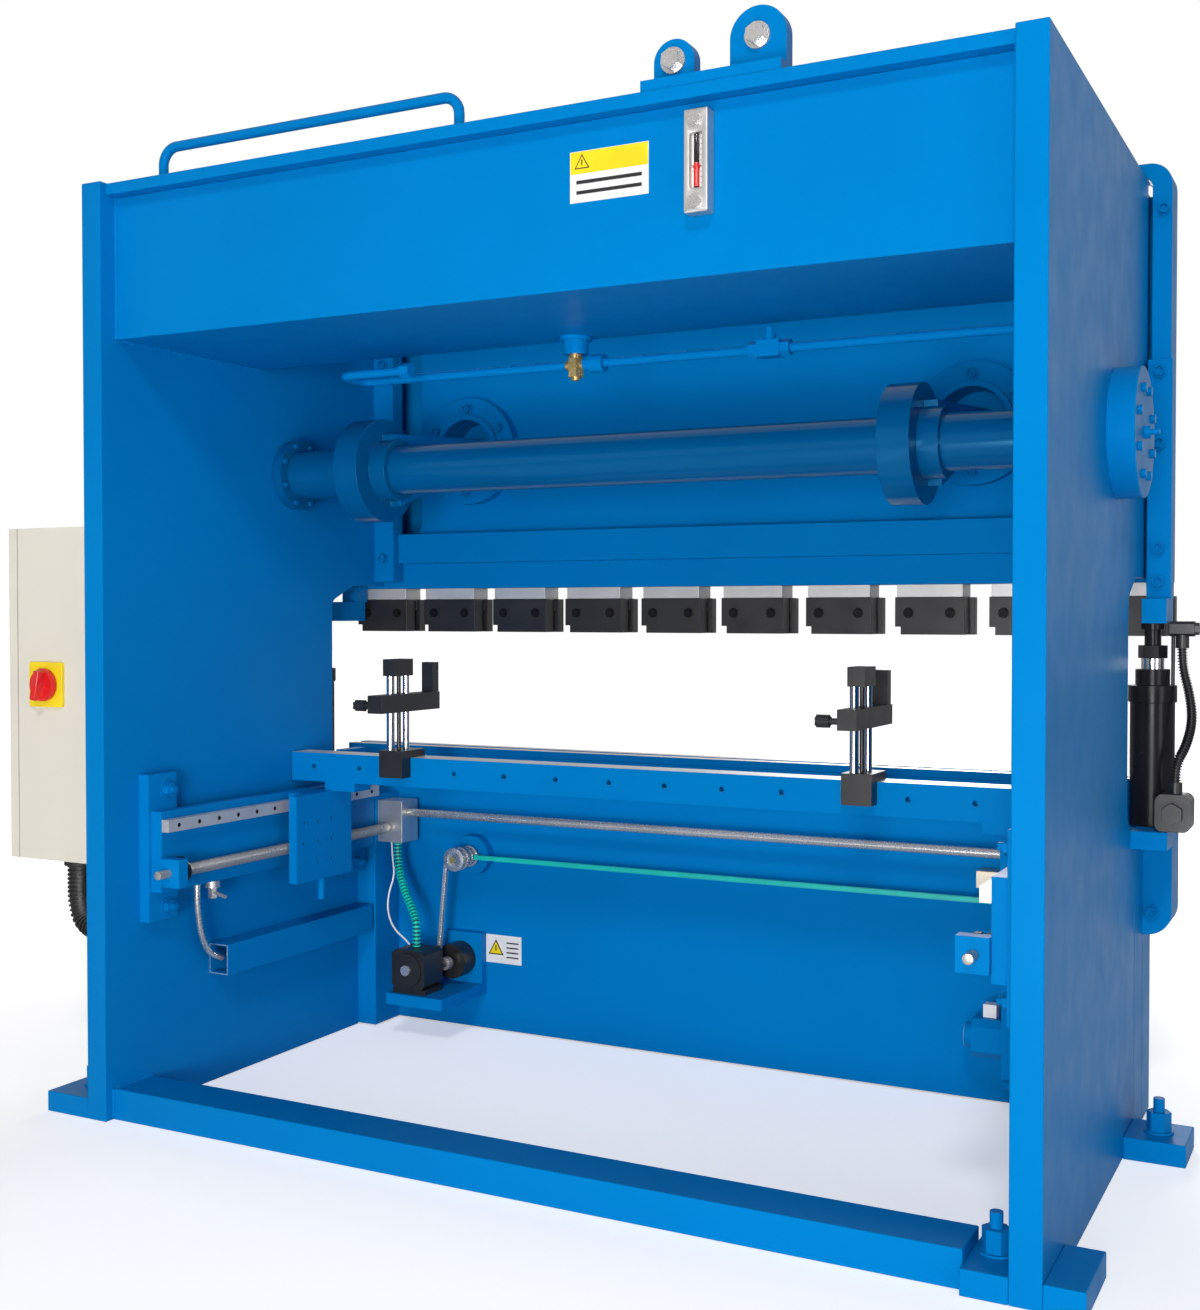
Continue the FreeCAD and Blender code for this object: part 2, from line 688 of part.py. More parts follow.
def ram_plate():
    """The moving beam: a thick plate with a window each side and a pocket behind each boss."""
    outline = [
        (-RAM_HALF, RAM_REAR, RAM_LOW),
        (RAM_HALF, RAM_REAR, RAM_LOW),
        (RAM_HALF, RAM_REAR, RAM_HIGH),
        (-RAM_HALF, RAM_REAR, RAM_HIGH),
    ]
    solid = plate(outline, [0, 0, RAM_TOP_R, RAM_TOP_R], (0, RAM_T, 0))
    window = [
        (WINDOW_IN, RAM_REAR - 1, WINDOW_LOW),
        (WINDOW_OUT, RAM_REAR - 1, WINDOW_LOW),
        (WINDOW_OUT, RAM_REAR - 1, WINDOW_HIGH),
        (WINDOW_IN, RAM_REAR - 1, WINDOW_HIGH),
    ]
    opening = plate(window, [WINDOW_R] * 4, (0, RAM_T + 2, 0))
    pockets = [
        rod(BOSS_BORE, (x, RAM_REAR - 1, BOSS_Z), (x, RAM_REAR + BOSS_POCKET, BOSS_Z))
        for x in BOSS_X
    ]
    return solid.cut(pair(opening) + pockets)


def ram_shelf():
    """The bar across the ram's rear face above the clamps."""
    return box((-SHELF_HALF, SHELF_HALF), (RAM_REAR - SHELF_T, RAM_REAR), (SHELF_LOW, SHELF_HIGH))


def ram_bosses():
    """The bolted ring that takes each lever's tip."""
    bosses = []
    face = RAM_REAR - BOSS_T
    for x in BOSS_X:
        flange = ring(BOSS_R, BOSS_BORE, (x, face, BOSS_Z), (x, RAM_REAR, BOSS_Z))
        collar = ring(BOSS_BORE + 12, BOSS_BORE, (x, face - 10, BOSS_Z), (x, face, BOSS_Z))
        bosses.append(flange.fuse(collar).removeSplitter())
    return bosses


def side_blocks():
    """The blocks behind the ram's outer edges, with the lug that each cylinder rod pulls on."""
    block = box(SIDE_BLOCK_X, (RAM_REAR - SIDE_BLOCK_T, RAM_REAR), SIDE_BLOCK_Z)
    lug_y = (CYL_Y - 34, CLAMP_REAR - 13)
    lug_z = (LUG_LOW, SIDE_BLOCK_Z[0])
    right = block.fuse(box(SIDE_BLOCK_X, lug_y, lug_z)).removeSplitter()
    reach = (-SIDE_BLOCK_X[1] - CYL_LEFT_OUT, -SIDE_BLOCK_X[0])
    left = mirror(block).fuse(box(reach, lug_y, lug_z)).removeSplitter()
    return [right, left]


def clamp_centres():
    middle = (CLAMPS - 1) / 2
    return [(i - middle) * CLAMP_PITCH for i in range(CLAMPS)]


def clamp_strips():
    """The ground spacer above each clamp."""
    strips = []
    for x in clamp_centres():
        strip = box(
            (x - CLAMP_W / 2 + 4, x + CLAMP_W / 2 - 4),
            (CLAMP_REAR + 2, CLAMP_FRONT),
            (RAM_LOW - CLAMP_STRIP_H, RAM_LOW),
        )
        strips.append(strip)
    return strips


def clamp_bodies():
    """Each clamp: a fixed jaw and a bolted jaw on the rear with a stepped lower corner."""
    top = RAM_LOW - CLAMP_STRIP_H
    low = top - CLAMP_BODY_H
    jaws = []
    for x in clamp_centres():
        x0 = x - CLAMP_W / 2
        x1 = x + CLAMP_W / 2
        outline = [
            (x0, CLAMP_REAR, low + 16),
            (x0 + 12, CLAMP_REAR, low + 16),
            (x0 + 12, CLAMP_REAR, low),
            (x1, CLAMP_REAR, low),
            (x1, CLAMP_REAR, top),
            (x0, CLAMP_REAR, top),
        ]
        jaws.append(plate(outline, [0] * 6, (0, CLAMP_JAW_T, 0)))
        back = CLAMP_REAR + CLAMP_JAW_T + CLAMP_SLOT
        fixed = box((x0 + 6, x1 + 10), (back, CLAMP_FRONT), (low, top))
        neck = box((x0 + 6, x1 - 2), (CLAMP_REAR + CLAMP_JAW_T, back), (top - 26, top))
        jaws.append(fixed.fuse(neck).removeSplitter())
    return jaws


def ram_bolts():
    """The ram's fasteners: boss bolts, clamp screws and the bolts of the side blocks."""
    bolts = []
    for i in range(BOSS_BOLTS):
        angle = math.radians(30 + 360 * i / BOSS_BOLTS)
        z = BOSS_Z + math.sin(angle) * BOSS_BOLT_PCD / 2
        for boss_x in BOSS_X:
            x = boss_x + math.cos(angle) * BOSS_BOLT_PCD / 2
            bolts.append(cap_screw(12, 10, (x, RAM_REAR - BOSS_T, z), (0, -1, 0), 11))
    block_x = sum(SIDE_BLOCK_X) / 2
    for z in SIDE_BLOCK_BOLTS:
        bolts += pair(cap_screw(12, 10, (block_x, RAM_REAR - SIDE_BLOCK_T, z), (0, -1, 0), 11))
    bolts += pair(cap_screw(12, 10, (block_x, RAM_REAR, LEG_BOLT_Z), (0, -1, 0), 11))
    top = RAM_LOW - CLAMP_STRIP_H
    for x in clamp_centres():
        for side in (-1, 1):
            place = (x + side * CLAMP_W * 0.3, CLAMP_REAR, top - CLAMP_BODY_H * 0.42)
            bolts.append(cap_screw(SCREW_R, SCREW_R, place, (0, -1, 0), 5))
    return bolts


# ------------------------------------------------------------------ cylinders
def cylinder_brackets():
    """The shelf that each cylinder stands on, across the outside of the side plate."""
    out = INNER_HALF + PLATE_T
    depth = (LOWER_DEPTH - 62, BED_REAR)
    level = (CYL_LOW - BRACKET_T, CYL_LOW)
    right = box((out, CYL_X + 42), depth, level)
    left = box((-out, -CYL_X - 42 - CYL_LEFT_OUT), depth, level)
    return [right, left]


def cylinders():
    """Barrel and screwed gland of each cylinder, bored for the piston and the rod."""
    def level(z):
        return (CYL_X, CYL_Y, z)

    barrel = rod(CYL_R, level(CYL_LOW), level(CYL_HIGH - GLAND_H))
    barrel = barrel.cut(rod(CYL_BORE, level(CYL_LOW + 18), level(CYL_HIGH)))
    rod_hole = rod(ROD_R + ROD_CLEAR, level(CYL_LOW), level(CYL_HIGH + WIPER_H + 1))
    gland = rod(GLAND_R, level(CYL_HIGH - GLAND_H), level(CYL_HIGH))
    gland = gland.fuse(rod(WIPER_R, level(CYL_HIGH), level(CYL_HIGH + WIPER_H))).cut(rod_hole)
    return cylinder_pair(barrel) + cylinder_pair(gland)


def cylinder_rods():
    """Piston, rod, lock nut, stud and flange, all moving with the ram."""
    def level(z):
        return (CYL_X, CYL_Y, z)

    top = CYL_HIGH + WIPER_H
    piston = rod(CYL_BORE - ROD_CLEAR, level(CYL_LOW + 22), level(CYL_LOW + 22 + PISTON_H))
    shaft = rod(ROD_R, level(CYL_LOW + 22 + PISTON_H), level(top + 20))
    nut = hexagon(ROD_NUT_AF, level(top + 20), level(top + 44))
    stud = rod(STUD_R, level(top + 44), level(LUG_LOW - 12))
    flange = rod(ROD_FLANGE_R, level(LUG_LOW - 12), level(LUG_LOW))
    return cylinder_pair(piston.fuse([shaft, nut, stud, flange]).removeSplitter())


def hose_fittings():
    """Port block at each cylinder's foot, the elbow above its cap and the hose's two ends."""
    low = CYL_LOW
    high = CYL_LOW + PORT_H
    x0, x1 = PORT_X
    rear = PORT_Y - 26
    port = plate(
        [(x0, rear, low), (x1, rear, low), (x1, rear, high), (x0, rear, high)],
        [14, 14, 14, 14],
        (0, CYL_Y - CYL_R - rear, 0),
    )
    plug_x = (x0 + x1) / 2
    plug = hexagon(34, (plug_x, rear - 14, low + 34), (plug_x, rear, low + 34))
    riser_x = CYL_X + WIPER_R + 5
    riser = rod(3.5, (riser_x, CYL_Y, CYL_HIGH), (riser_x, CYL_Y, ELBOW_Z))
    elbow = box((riser_x - 5.5, riser_x + 38), (CYL_Y - 14, CYL_Y + 14), (ELBOW_Z - 14, ELBOW_Z + 14))
    edges = [e for e in elbow.Edges if abs(e.tangentAt(0).x) > 0.9]
    elbow = elbow.makeChamfer(5.0, edges)
    knob = hexagon(20, (riser_x + 38, CYL_Y, ELBOW_Z), (riser_x + 46, CYL_Y, ELBOW_Z))
    start = HOSE_POINTS[0]
    top_ferrule = rod(12, start, (start[0], start[1], ELBOW_Z))
    end = HOSE_POINTS[-1]
    low_ferrule = rod(12, (end[0], end[1], high), end)
    elbow = elbow.fuse([riser, knob, top_ferrule]).removeSplitter()
    return cylinder_pair(port.fuse([plug, low_ferrule]).removeSplitter()) + cylinder_pair(elbow)


PORT_X = (CYL_X + 18, CYL_X + 80)
PORT_H = 68.0
ELBOW_Z = 950.0
HOSE_X = CYL_X + 60.0
HOSE_R = 9.0
HOSE_POINTS = [
    (HOSE_X - 8, CYL_Y, ELBOW_Z - 36),
    (HOSE_X - 8, CYL_Y, ELBOW_Z - 70),
    (HOSE_X + 6, CYL_Y - 8, ELBOW_Z - 118),
    (HOSE_X + 14, CYL_Y - 24, ELBOW_Z - 168),
    (HOSE_X + 6, CYL_Y - 48, ELBOW_Z - 214),
    (HOSE_X - 10, PORT_Y + 4, ELBOW_Z - 246),
    (HOSE_X - 10, PORT_Y + 4, CYL_LOW + PORT_H + 20),
]


def hydraulic_hoses():
    return cylinder_pair(tube_along(hose_path(HOSE_POINTS), HOSE_R))


# ------------------------------------------------------------------ cabinet
def cabinet_box():
    """The control cabinet's shell, open on its outer side where the door closes it."""
    shell = box(CAB_X, CAB_Y, CAB_Z)
    inside = box(
        (CAB_X[0] - 1, CAB_X[1] - CAB_WALL),
        (CAB_Y[0] + CAB_WALL, CAB_Y[1] - CAB_WALL),
        (CAB_Z[0] + CAB_WALL, CAB_Z[1] - CAB_WALL),
    )
    rail = box((CAB_X[1] - CAB_WALL - 12, CAB_X[1] - CAB_WALL), (CAB_Y[0] + 30, CAB_Y[1] - 30), (700, 735))
    leaves = []
    for z in HINGE_LEVELS:
        level = (z - 40, z - 14)
        leaves.append(box((CAB_X[0], CAB_X[0] + 26), (CAB_Y[1], HINGE_AXIS_Y), level))
        leaves.append(box((HINGE_AXIS_X, CAB_X[0]), (HINGE_AXIS_Y - 4, HINGE_AXIS_Y), level))
        low = (HINGE_AXIS_X, HINGE_AXIS_Y, level[0])
        high = (HINGE_AXIS_X, HINGE_AXIS_Y, level[1])
        leaves.append(rod(HINGE_R, low, high))
    return shell.cut(inside).fuse([rail] + leaves).removeSplitter()


HINGE_LEVELS = (620.0, 1010.0)
HINGE_AXIS_X = CAB_X[0] - DOOR_GAP - 2
HINGE_AXIS_Y = CAB_Y[1] + 7


def cabinet_door():
    """The door over the cabinet's outer side, with its hinge knuckles and lock."""
    x1 = CAB_X[0] - DOOR_GAP
    x0 = x1 - DOOR_T
    door = box((x0, x1), CAB_Y, CAB_Z)
    hollow = box((x0 + 2.5, x1 + 1), (CAB_Y[0] + 14, CAB_Y[1] - 14), (CAB_Z[0] + 14, CAB_Z[1] - 14))
    door = door.cut(hollow)
    for z in HINGE_LEVELS:
        door = door.fuse(
            [
                rod(HINGE_R, (HINGE_AXIS_X, HINGE_AXIS_Y, z - 13.5), (HINGE_AXIS_X, HINGE_AXIS_Y, z + 13)),
                box((x0 + 6, HINGE_AXIS_X), (CAB_Y[1], HINGE_AXIS_Y), (z - 13.5, z + 13)),
            ]
        )
    middle = sum(CAB_Z) / 2
    for z in (middle - 170, middle + 170):
        lock = rod(12, (x0 - 5, CAB_Y[0] + 34, z), (x0, CAB_Y[0] + 34, z))
        door = door.fuse(lock)
    return door.removeSplitter()


def switch_plate():
    """The yellow plate of the main switch with the spindle hole."""
    half = SWITCH_PLATE / 2
    y1 = CAB_Y[0]
    solid = box(
        (SWITCH_X - half, SWITCH_X + half),
        (y1 - SWITCH_PLATE_T, y1),
        (SWITCH_Z - half, SWITCH_Z + half),
    )
    edges = [e for e in solid.Edges if abs(e.tangentAt(0).y) > 0.9]
    solid = solid.makeFillet(6.0, edges)
    return solid.cut(rod(9, (SWITCH_X, y1 - 30, SWITCH_Z), (SWITCH_X, y1 + 30, SWITCH_Z)))


def switch_knob():
    """The red rotary handle: a dished disc with a raised grip bar, and its spindle."""
    y1 = CAB_Y[0] - SWITCH_PLATE_T - 0.5
    y0 = y1 - SWITCH_KNOB_T
    disc = rod(SWITCH_KNOB_R, (SWITCH_X, y0 + 12, SWITCH_Z), (SWITCH_X, y1, SWITCH_Z))
    dish = rod(SWITCH_KNOB_R - 6, (SWITCH_X, y0 + 11, SWITCH_Z), (SWITCH_X, y1 - 7, SWITCH_Z))
    grip = box(
        (SWITCH_X - 7, SWITCH_X + 7),
        (y0, y1 - 6),
        (SWITCH_Z - SWITCH_KNOB_R, SWITCH_Z + SWITCH_KNOB_R - 4),
    )
    grip.rotate(V(SWITCH_X, 0, SWITCH_Z), V(0, 1, 0), 12)
    spindle = rod(8.95, (SWITCH_X, y1 - 1, SWITCH_Z), (SWITCH_X, y1 + 7, SWITCH_Z))
    return disc.cut(dish).fuse([grip, spindle]).removeSplitter()


def cable_conduit():
    """The cabinet's cable outlet, its hose to the side plate and the gland on top."""
    x = CAB_X[0] + 122
    y = CAB_Y[0] + 46
    collar = rod(CONDUIT_R + 6, (x, y, CAB_Z[0] - 12), (x, y, CAB_Z[0]))
    out = -INNER_HALF - PLATE_T
    points = [(x, y, CAB_Z[0] - 12), (x, y, CAB_Z[0] - 140), (out, y, CAB_Z[0] - 140)]
    hose = tube_along(rounded_path(points, [CONDUIT_BEND]), CONDUIT_R)
    gland = rod(13, (CAB_X[1] - 22, CAB_Y[0] + 20, CAB_Z[1]), (CAB_X[1] - 22, CAB_Y[0] + 20, CAB_Z[1] + 24))
    return [collar, hose, gland]


# ------------------------------------------------------------------ back gauge, fixed pieces
GP_FACE = INNER_HALF - GP_T          # inner face of the end bars
RAIL_SEAT = GP_FACE - GP_T           # inner face of the gauge base plates


def gauge_plates():
    """Base plate of each gauge axis on its two end bars."""
    solids = []
    base = box((RAIL_SEAT, GP_FACE), GP_Y, GP_Z)
    near = box((GP_FACE, INNER_HALF), END_BAR_Y, END_BAR_Z)
    far = box((GP_FACE, INNER_HALF), (GP_Y[1] - 80, GP_Y[1]), END_BAR_Z)
    solids += pair(base.fuse([near, far]).removeSplitter())
    return solids


def linear_rails():
    """Profiled linear rails with their countersunk holes."""
    rail = box((RAIL_SEAT - LIN_T, RAIL_SEAT), LIN_Y, (LIN_Z - LIN_W / 2, LIN_Z + LIN_W / 2))
    pitch = (LIN_Y[1] - LIN_Y[0]) / LIN_HOLES
    for i in range(LIN_HOLES):
        y = LIN_Y[0] + pitch * (i + 0.5)
        rail = rail.cut(rod(4.5, (RAIL_SEAT - LIN_T - 1, y, LIN_Z), (RAIL_SEAT - 4, y, LIN_Z)))
    return pair(rail)


def screw_bearings():
    """Rear bearing blocks and the front bevel boxes that carry screws and cross shaft."""
    y0, y1 = (92.0, 118.0)
    bore = rod(SCREW_END_R + 0.06, (SCREW_X, y0 - 1, SCREW_Z), (SCREW_X, y1 + 1, SCREW_Z))
    rear = box((SCREW_X - 27, RAIL_SEAT), (y0, y1), (SCREW_Z - 28, SCREW_Z + 28)).cut(bore)
    gear = box(GEAR_X, GEAR_Y, GEAR_Z)
    y0 = GEAR_Y[0]
    gear = gear.cut(rod(SCREW_END_R + 0.06, (SCREW_X, y0 - 1, SCREW_Z), (SCREW_X, y0 + 24, SCREW_Z)))
    x0 = GEAR_X[0]
    gear = gear.cut(rod(SHAFT_R + 0.06, (x0 - 1, SHAFT_Y, SHAFT_Z), (x0 + 24, SHAFT_Y, SHAFT_Z)))
    return pair(rear) + pair(gear)


def cable_channel():
    """The box-section cable channel on the left plate and the steel tube that enters it."""
    outer = box((-CHANNEL_X[0], -CHANNEL_X[1]), CHANNEL_Y, CHANNEL_Z)
    inner = box(
        (-CHANNEL_X[0] - CHANNEL_WALL, -CHANNEL_X[1] + CHANNEL_WALL),
        (CHANNEL_Y[0] - 1, CHANNEL_Y[1] + 1),
        (CHANNEL_Z[0] + CHANNEL_WALL, CHANNEL_Z[1] - CHANNEL_WALL),
    )
    x = -INNER_HALF + GP_T + 6
    points = [
        (x, 222, GP_Z[0]),
        (x, 222, 388),
        (x, 232, 326),
        (x, 254, 282),
        (x, 296, 262),
    ]
    return [outer.cut(inner), tube_along(hose_path(points), 6.0)]


def frame_bolts():
    """Fixed fasteners: sight gauge, lifting lugs, bearing covers, gauge bars, strips and bed ears."""
    bolts = []
    rear = TANK_REAR - SIGHT_D
    for z in (GAUGE_Z - SIGHT_BOLT_PITCH / 2, GAUGE_Z + SIGHT_BOLT_PITCH / 2):
        bolts.append(rod(SIGHT_BOLT_R, (GAUGE_X - 1, rear - 7, z), (GAUGE_X - 1, rear, z)))
    pad_top = LID_TOP + LUG_PAD[4]
    for x, radius, height in LUG_EYES:
        z = pad_top + height
        washer = rod(LUG_BOLT_R + 9, (x, LUG_Y - 5, z), (x, LUG_Y, z))
        head = hexagon(28, (x, LUG_Y - 18, z), (x, LUG_Y - 5, z))
        shank = rod(LUG_BOLT_R, (x, LUG_Y, z), (x, LUG_Y + LUG_T, z))
        bolts.append(washer.fuse([head, shank]).removeSplitter())
    out = INNER_HALF + PLATE_T + COVER_T
    for i in range(COVER_BOLTS):
        angle = math.radians(22.5 + 360 * i / COVER_BOLTS)
        y = TORSION_Y + math.cos(angle) * 78
        z = TORSION_Z + math.sin(angle) * 78
        bolts += pair(rod(8, (out, y, z), (out + 7, y, z)))
        y = TORSION_Y + math.cos(angle) * 67
        z = TORSION_Z + math.sin(angle) * 67
        inner = INNER_HALF - BEARING_RING_T
        bolts += pair(rod(5, (inner - 5, y, z), (inner, y, z)))
    for y in (END_BAR_Y[1] - 30, GP_Y[1] - 40):
        for z in (END_BAR_Z[0] + 27, END_BAR_Z[1] - 33):
            bolts += pair(hex_bolt(24, (GP_FACE, y, z), (-1, 0, 0), 12, 10))
    strip_x = (STRIP_X + INNER_HALF) / 2
    for z in (STRIP_Z[0] + 56, (STRIP_Z[0] + STRIP_Z[1]) / 2 - 37, STRIP_Z[1] - 127):
        bolts += pair(cap_screw(12, 10, (strip_x, UPPER_DEPTH - STRIP_T, z), (0, -1, 0), 11))
    ear_x = INNER_HALF + PLATE_T + 18
    bolts += pair(cap_screw(12, 10, (ear_x, BED_REAR, BED_EAR_LOW + 44), (0, -1, 0), 11))
    return bolts


# ------------------------------------------------------------------ back gauge, moving pieces
def gauge_carriage():
    """A carriage: plate, rail block, screw nut, beam seat and the pin under it, in one weldment."""
    body = box(CAR_X, CAR_Y, CAR_Z)
    rail_y = (CAR_Y[0] + 50, CAR_Y[1] - 50)
    run = 0.3
    runner = box((CAR_X[1], RAIL_SEAT - 4), rail_y, (LIN_Z - 26, LIN_Z + 26))
    groove = box(
        (RAIL_SEAT - LIN_T - run, RAIL_SEAT + 1),
        (rail_y[0] - 1, rail_y[1] + 1),
        (LIN_Z - LIN_W / 2 - run, LIN_Z + LIN_W / 2 + run),
    )
    nut = box((CAR_X[1], RAIL_SEAT - 4), (CAR_Y[0] + 66, CAR_Y[1] - 66), (SCREW_Z - 24, SCREW_Z + 24))
    bore = rod(SCREW_ROD_R + 0.08, (SCREW_X, CAR_Y[0], SCREW_Z), (SCREW_X, CAR_Y[1], SCREW_Z))
    seat = box((CAR_X[0] - 60, CAR_X[1]), BEAM_GY, (CAR_Z[1], BEAM_GZ[0]))
    pin_y = (CAR_Y[0] + CAR_Y[1]) / 2
    pin = rod(8, (sum(CAR_X) / 2, pin_y, CAR_Z[0] - 46), (sum(CAR_X) / 2, pin_y, CAR_Z[0]))
    body = body.fuse([runner.cut(groove), nut.cut(bore), seat, pin])
    for dy in (-70, -22, 26):
        for dz in (40, 84, 128):
            y = pin_y + dy
            z = CAR_Z[0] + dz
            body = body.cut(rod(4.5, (CAR_X[0] - 1, y, z), (CAR_X[0] + 8, y, z)))
    return body.removeSplitter()


def gauge_beam():
    """The cross beam: a blue bar with tapped holes and a ground strip on top."""
    half = INNER_HALF - BEAM_END_GAP
    solid = box((-half, half), BEAM_GY, BEAM_GZ)
    pitch = 2 * half / BEAM_HOLES
    for i in range(BEAM_HOLES):
        x = -half + pitch * (i + 0.5)
        solid = solid.cut(rod(5.5, (x, BEAM_GY[0] - 1, 640), (x, BEAM_GY[0] + 20, 640)))
    return solid


def ball_screw():
    """A gauge screw between its rear bearing and its bevel box, with a stub past the bearing."""
    body = rod(SCREW_ROD_R, (SCREW_X, 120, SCREW_Z), (SCREW_X, GEAR_Y[0] - 2, SCREW_Z))
    rear = rod(SCREW_END_R, (SCREW_X, 62, SCREW_Z), (SCREW_X, 120, SCREW_Z))
    front = rod(SCREW_END_R, (SCREW_X, GEAR_Y[0] - 2, SCREW_Z), (SCREW_X, GEAR_Y[0] + 22, SCREW_Z))
    return body.fuse([rear, front]).removeSplitter()


def sync_shaft():
    end = GEAR_X[0] + 22
    return rod(SHAFT_R, (-end, SHAFT_Y, SHAFT_Z), (end, SHAFT_Y, SHAFT_Z))


def finger_base(x):
    """A finger's foot over the beam, with its two silver posts, the jack rod and the cap."""
    half, rear, below, above = FINGER_FOOT
    top = BEAM_GZ[1]
    gap = 0.3
    foot = box((x - half, x + half), (rear, BEAM_GY[0] - gap), (top - below, top + above))
    parts = [box((x - half, x + half), (rear, BEAM_GY[1] - 6), (top + gap, top + above))]
    cap_half, cap_rear, cap_front, cap_h = FINGER_CAP
    for dx, y, radius in (*FINGER_POSTS, FINGER_JACK):
        parts.append(rod(radius, (x + dx, y, top + above), (x + dx, y, FINGER_TOP - cap_h)))
    parts.append(box((x - cap_half, x + cap_half), (cap_rear, cap_front), (FINGER_TOP - cap_h, FINGER_TOP)))
    return foot.fuse(parts).removeSplitter()


def finger_arm(x):
    """The height-adjusted arm on the posts, reaching forward to the stop plate."""
    low, high = FINGER_ARM_Z
    y0, y1 = FINGER_ARM_Y
    arm = box((x - FINGER_ARM_HALF, x + FINGER_ARM_HALF), (y0, y1), (low, high))
    half, thick, top = FINGER_STOP
    arm = arm.fuse(box((x - half, x + half), (y1 - thick, y1), (low, top)))
    for dx, y, radius in (*FINGER_POSTS, FINGER_JACK):
        arm = arm.cut(rod(radius + 0.08, (x + dx, y, low - 1), (x + dx, y, high + 1)))
    return arm.removeSplitter()


def finger_knob(x):
    """The arm's clamp knob with its threaded stem, turning against the side of the slide."""
    z = sum(FINGER_ARM_Z) / 2 - 4
    face = x - FINGER_ARM_HALF - 0.3
    near = face - 20
    far = near - 26
    grip = rod(KNOB_R, (far, KNOB_Y, z), (near, KNOB_Y, z))
    flutes = []
    for i in range(6):
        dy = (KNOB_R + 1.5) * math.cos(math.radians(60 * i))
        dz = (KNOB_R + 1.5) * math.sin(math.radians(60 * i))
        flutes.append(rod(4, (far - 1, KNOB_Y + dy, z + dz), (near + 1, KNOB_Y + dy, z + dz)))
    stem = rod(6, (near, KNOB_Y, z), (face, KNOB_Y, z))
    return grip.cut(flutes).fuse(stem).removeSplitter()


# ------------------------------------------------------------------ drive
def drive_motor():
    """The gauge motor: square gearbox in front, its cross shaft and the round motor behind."""
    h = MOTOR_HALF
    y0, y1 = MOTOR_Y
    front = box((MOTOR_X - h, MOTOR_X + h), (y0, y1), (MOTOR_Z - h, MOTOR_Z + h))
    edges = [e for e in front.Edges if abs(e.tangentAt(0).y) > 0.9]
    front = front.makeChamfer(9.0, edges)
    boss = rod(h - 6, (MOTOR_X, y0 - 6, MOTOR_Z), (MOTOR_X, y0, MOTOR_Z))
    hub = rod(12, (MOTOR_X, y0 - 12, MOTOR_Z), (MOTOR_X, y0 - 6, MOTOR_Z))
    tail_x = MOTOR_X + MOTOR_TAIL
    tail = rod(h - 4, (tail_x, MOTOR_REAR_Y, MOTOR_Z), (tail_x, BED_REAR - BRACKET_WEB, MOTOR_Z))
    shaft = rod(8, (tail_x, y1, MOTOR_Z), (tail_x, MOTOR_REAR_Y, MOTOR_Z))
    foot = box((MOTOR_X - h, MOTOR_X + h), (y0 + 4, y1), (MOTOR_Z - h - MOTOR_FOOT, MOTOR_Z - h))
    return front.fuse([boss, hub, tail, shaft, foot]).removeSplitter()


SHELF_TOP = MOTOR_Z - MOTOR_HALF - MOTOR_FOOT


def drive_brackets():
    """The motor's shelf and upright on the bed, and the double pulley's boss with its axle."""
    shelf = box((MOTOR_X - 54, MOTOR_X + 96), (MOTOR_Y[0] - 8, BED_REAR), (SHELF_TOP - 26, SHELF_TOP))
    upright = box(
        (MOTOR_X - 6, MOTOR_X + 96),
        (BED_REAR - BRACKET_WEB, BED_REAR),
        (SHELF_TOP, MOTOR_Z + 62),
    )
    boss = rod(46, (PULLEY_X, BED_REAR - 26, PULLEY_Z), (PULLEY_X, BED_REAR, PULLEY_Z))
    axle = rod(9, (PULLEY_X, PULLEY_REAR - 5, PULLEY_Z), (PULLEY_X, BED_REAR - 26, PULLEY_Z))
    return [shelf.fuse(upright).removeSplitter(), boss.fuse(axle).removeSplitter()]


BELT_GROOVE = PULLEY_R - 6
GAUGE_GROOVE = PULLEY_R - 9
DRIVE_BELT_Y = PULLEY_REAR + 7
GAUGE_BELT_Y = PULLEY_REAR + 49


def drive_pulley():
    """The silver double pulley turning on its axle on the bed."""
    bore = rod(9.06, (PULLEY_X, PULLEY_REAR - 1, PULLEY_Z), (PULLEY_X, BED_REAR, PULLEY_Z))
    profile = [
        (PULLEY_R, 0, 5),
        (BELT_GROOVE, 5, 21),
        (PULLEY_R, 21, 26),
        (GAUGE_GROOVE, 26, 44),
        (PULLEY_R - 3, 44, 48),
        (GAUGE_GROOVE, 48, 62),
        (PULLEY_R - 2, 62, 68),
    ]
    discs = []
    for radius, a, b in profile:
        rear = PULLEY_REAR + a
        front = PULLEY_REAR + b
        discs.append(rod(radius, (PULLEY_X, rear, PULLEY_Z), (PULLEY_X, front, PULLEY_Z)))
    return discs[0].fuse(discs[1:]).cut(bore).removeSplitter()


def motor_pulley():
    """The small pulley on the motor's cross shaft that the drive belt runs round."""
    x = MOTOR_X + MOTOR_TAIL
    y0 = DRIVE_BELT_Y - 3
    y1 = DRIVE_BELT_Y + BELT_W + 3
    return ring(MOTOR_PULLEY_R, 8.06, (x, y0, MOTOR_Z), (x, y1, MOTOR_Z))


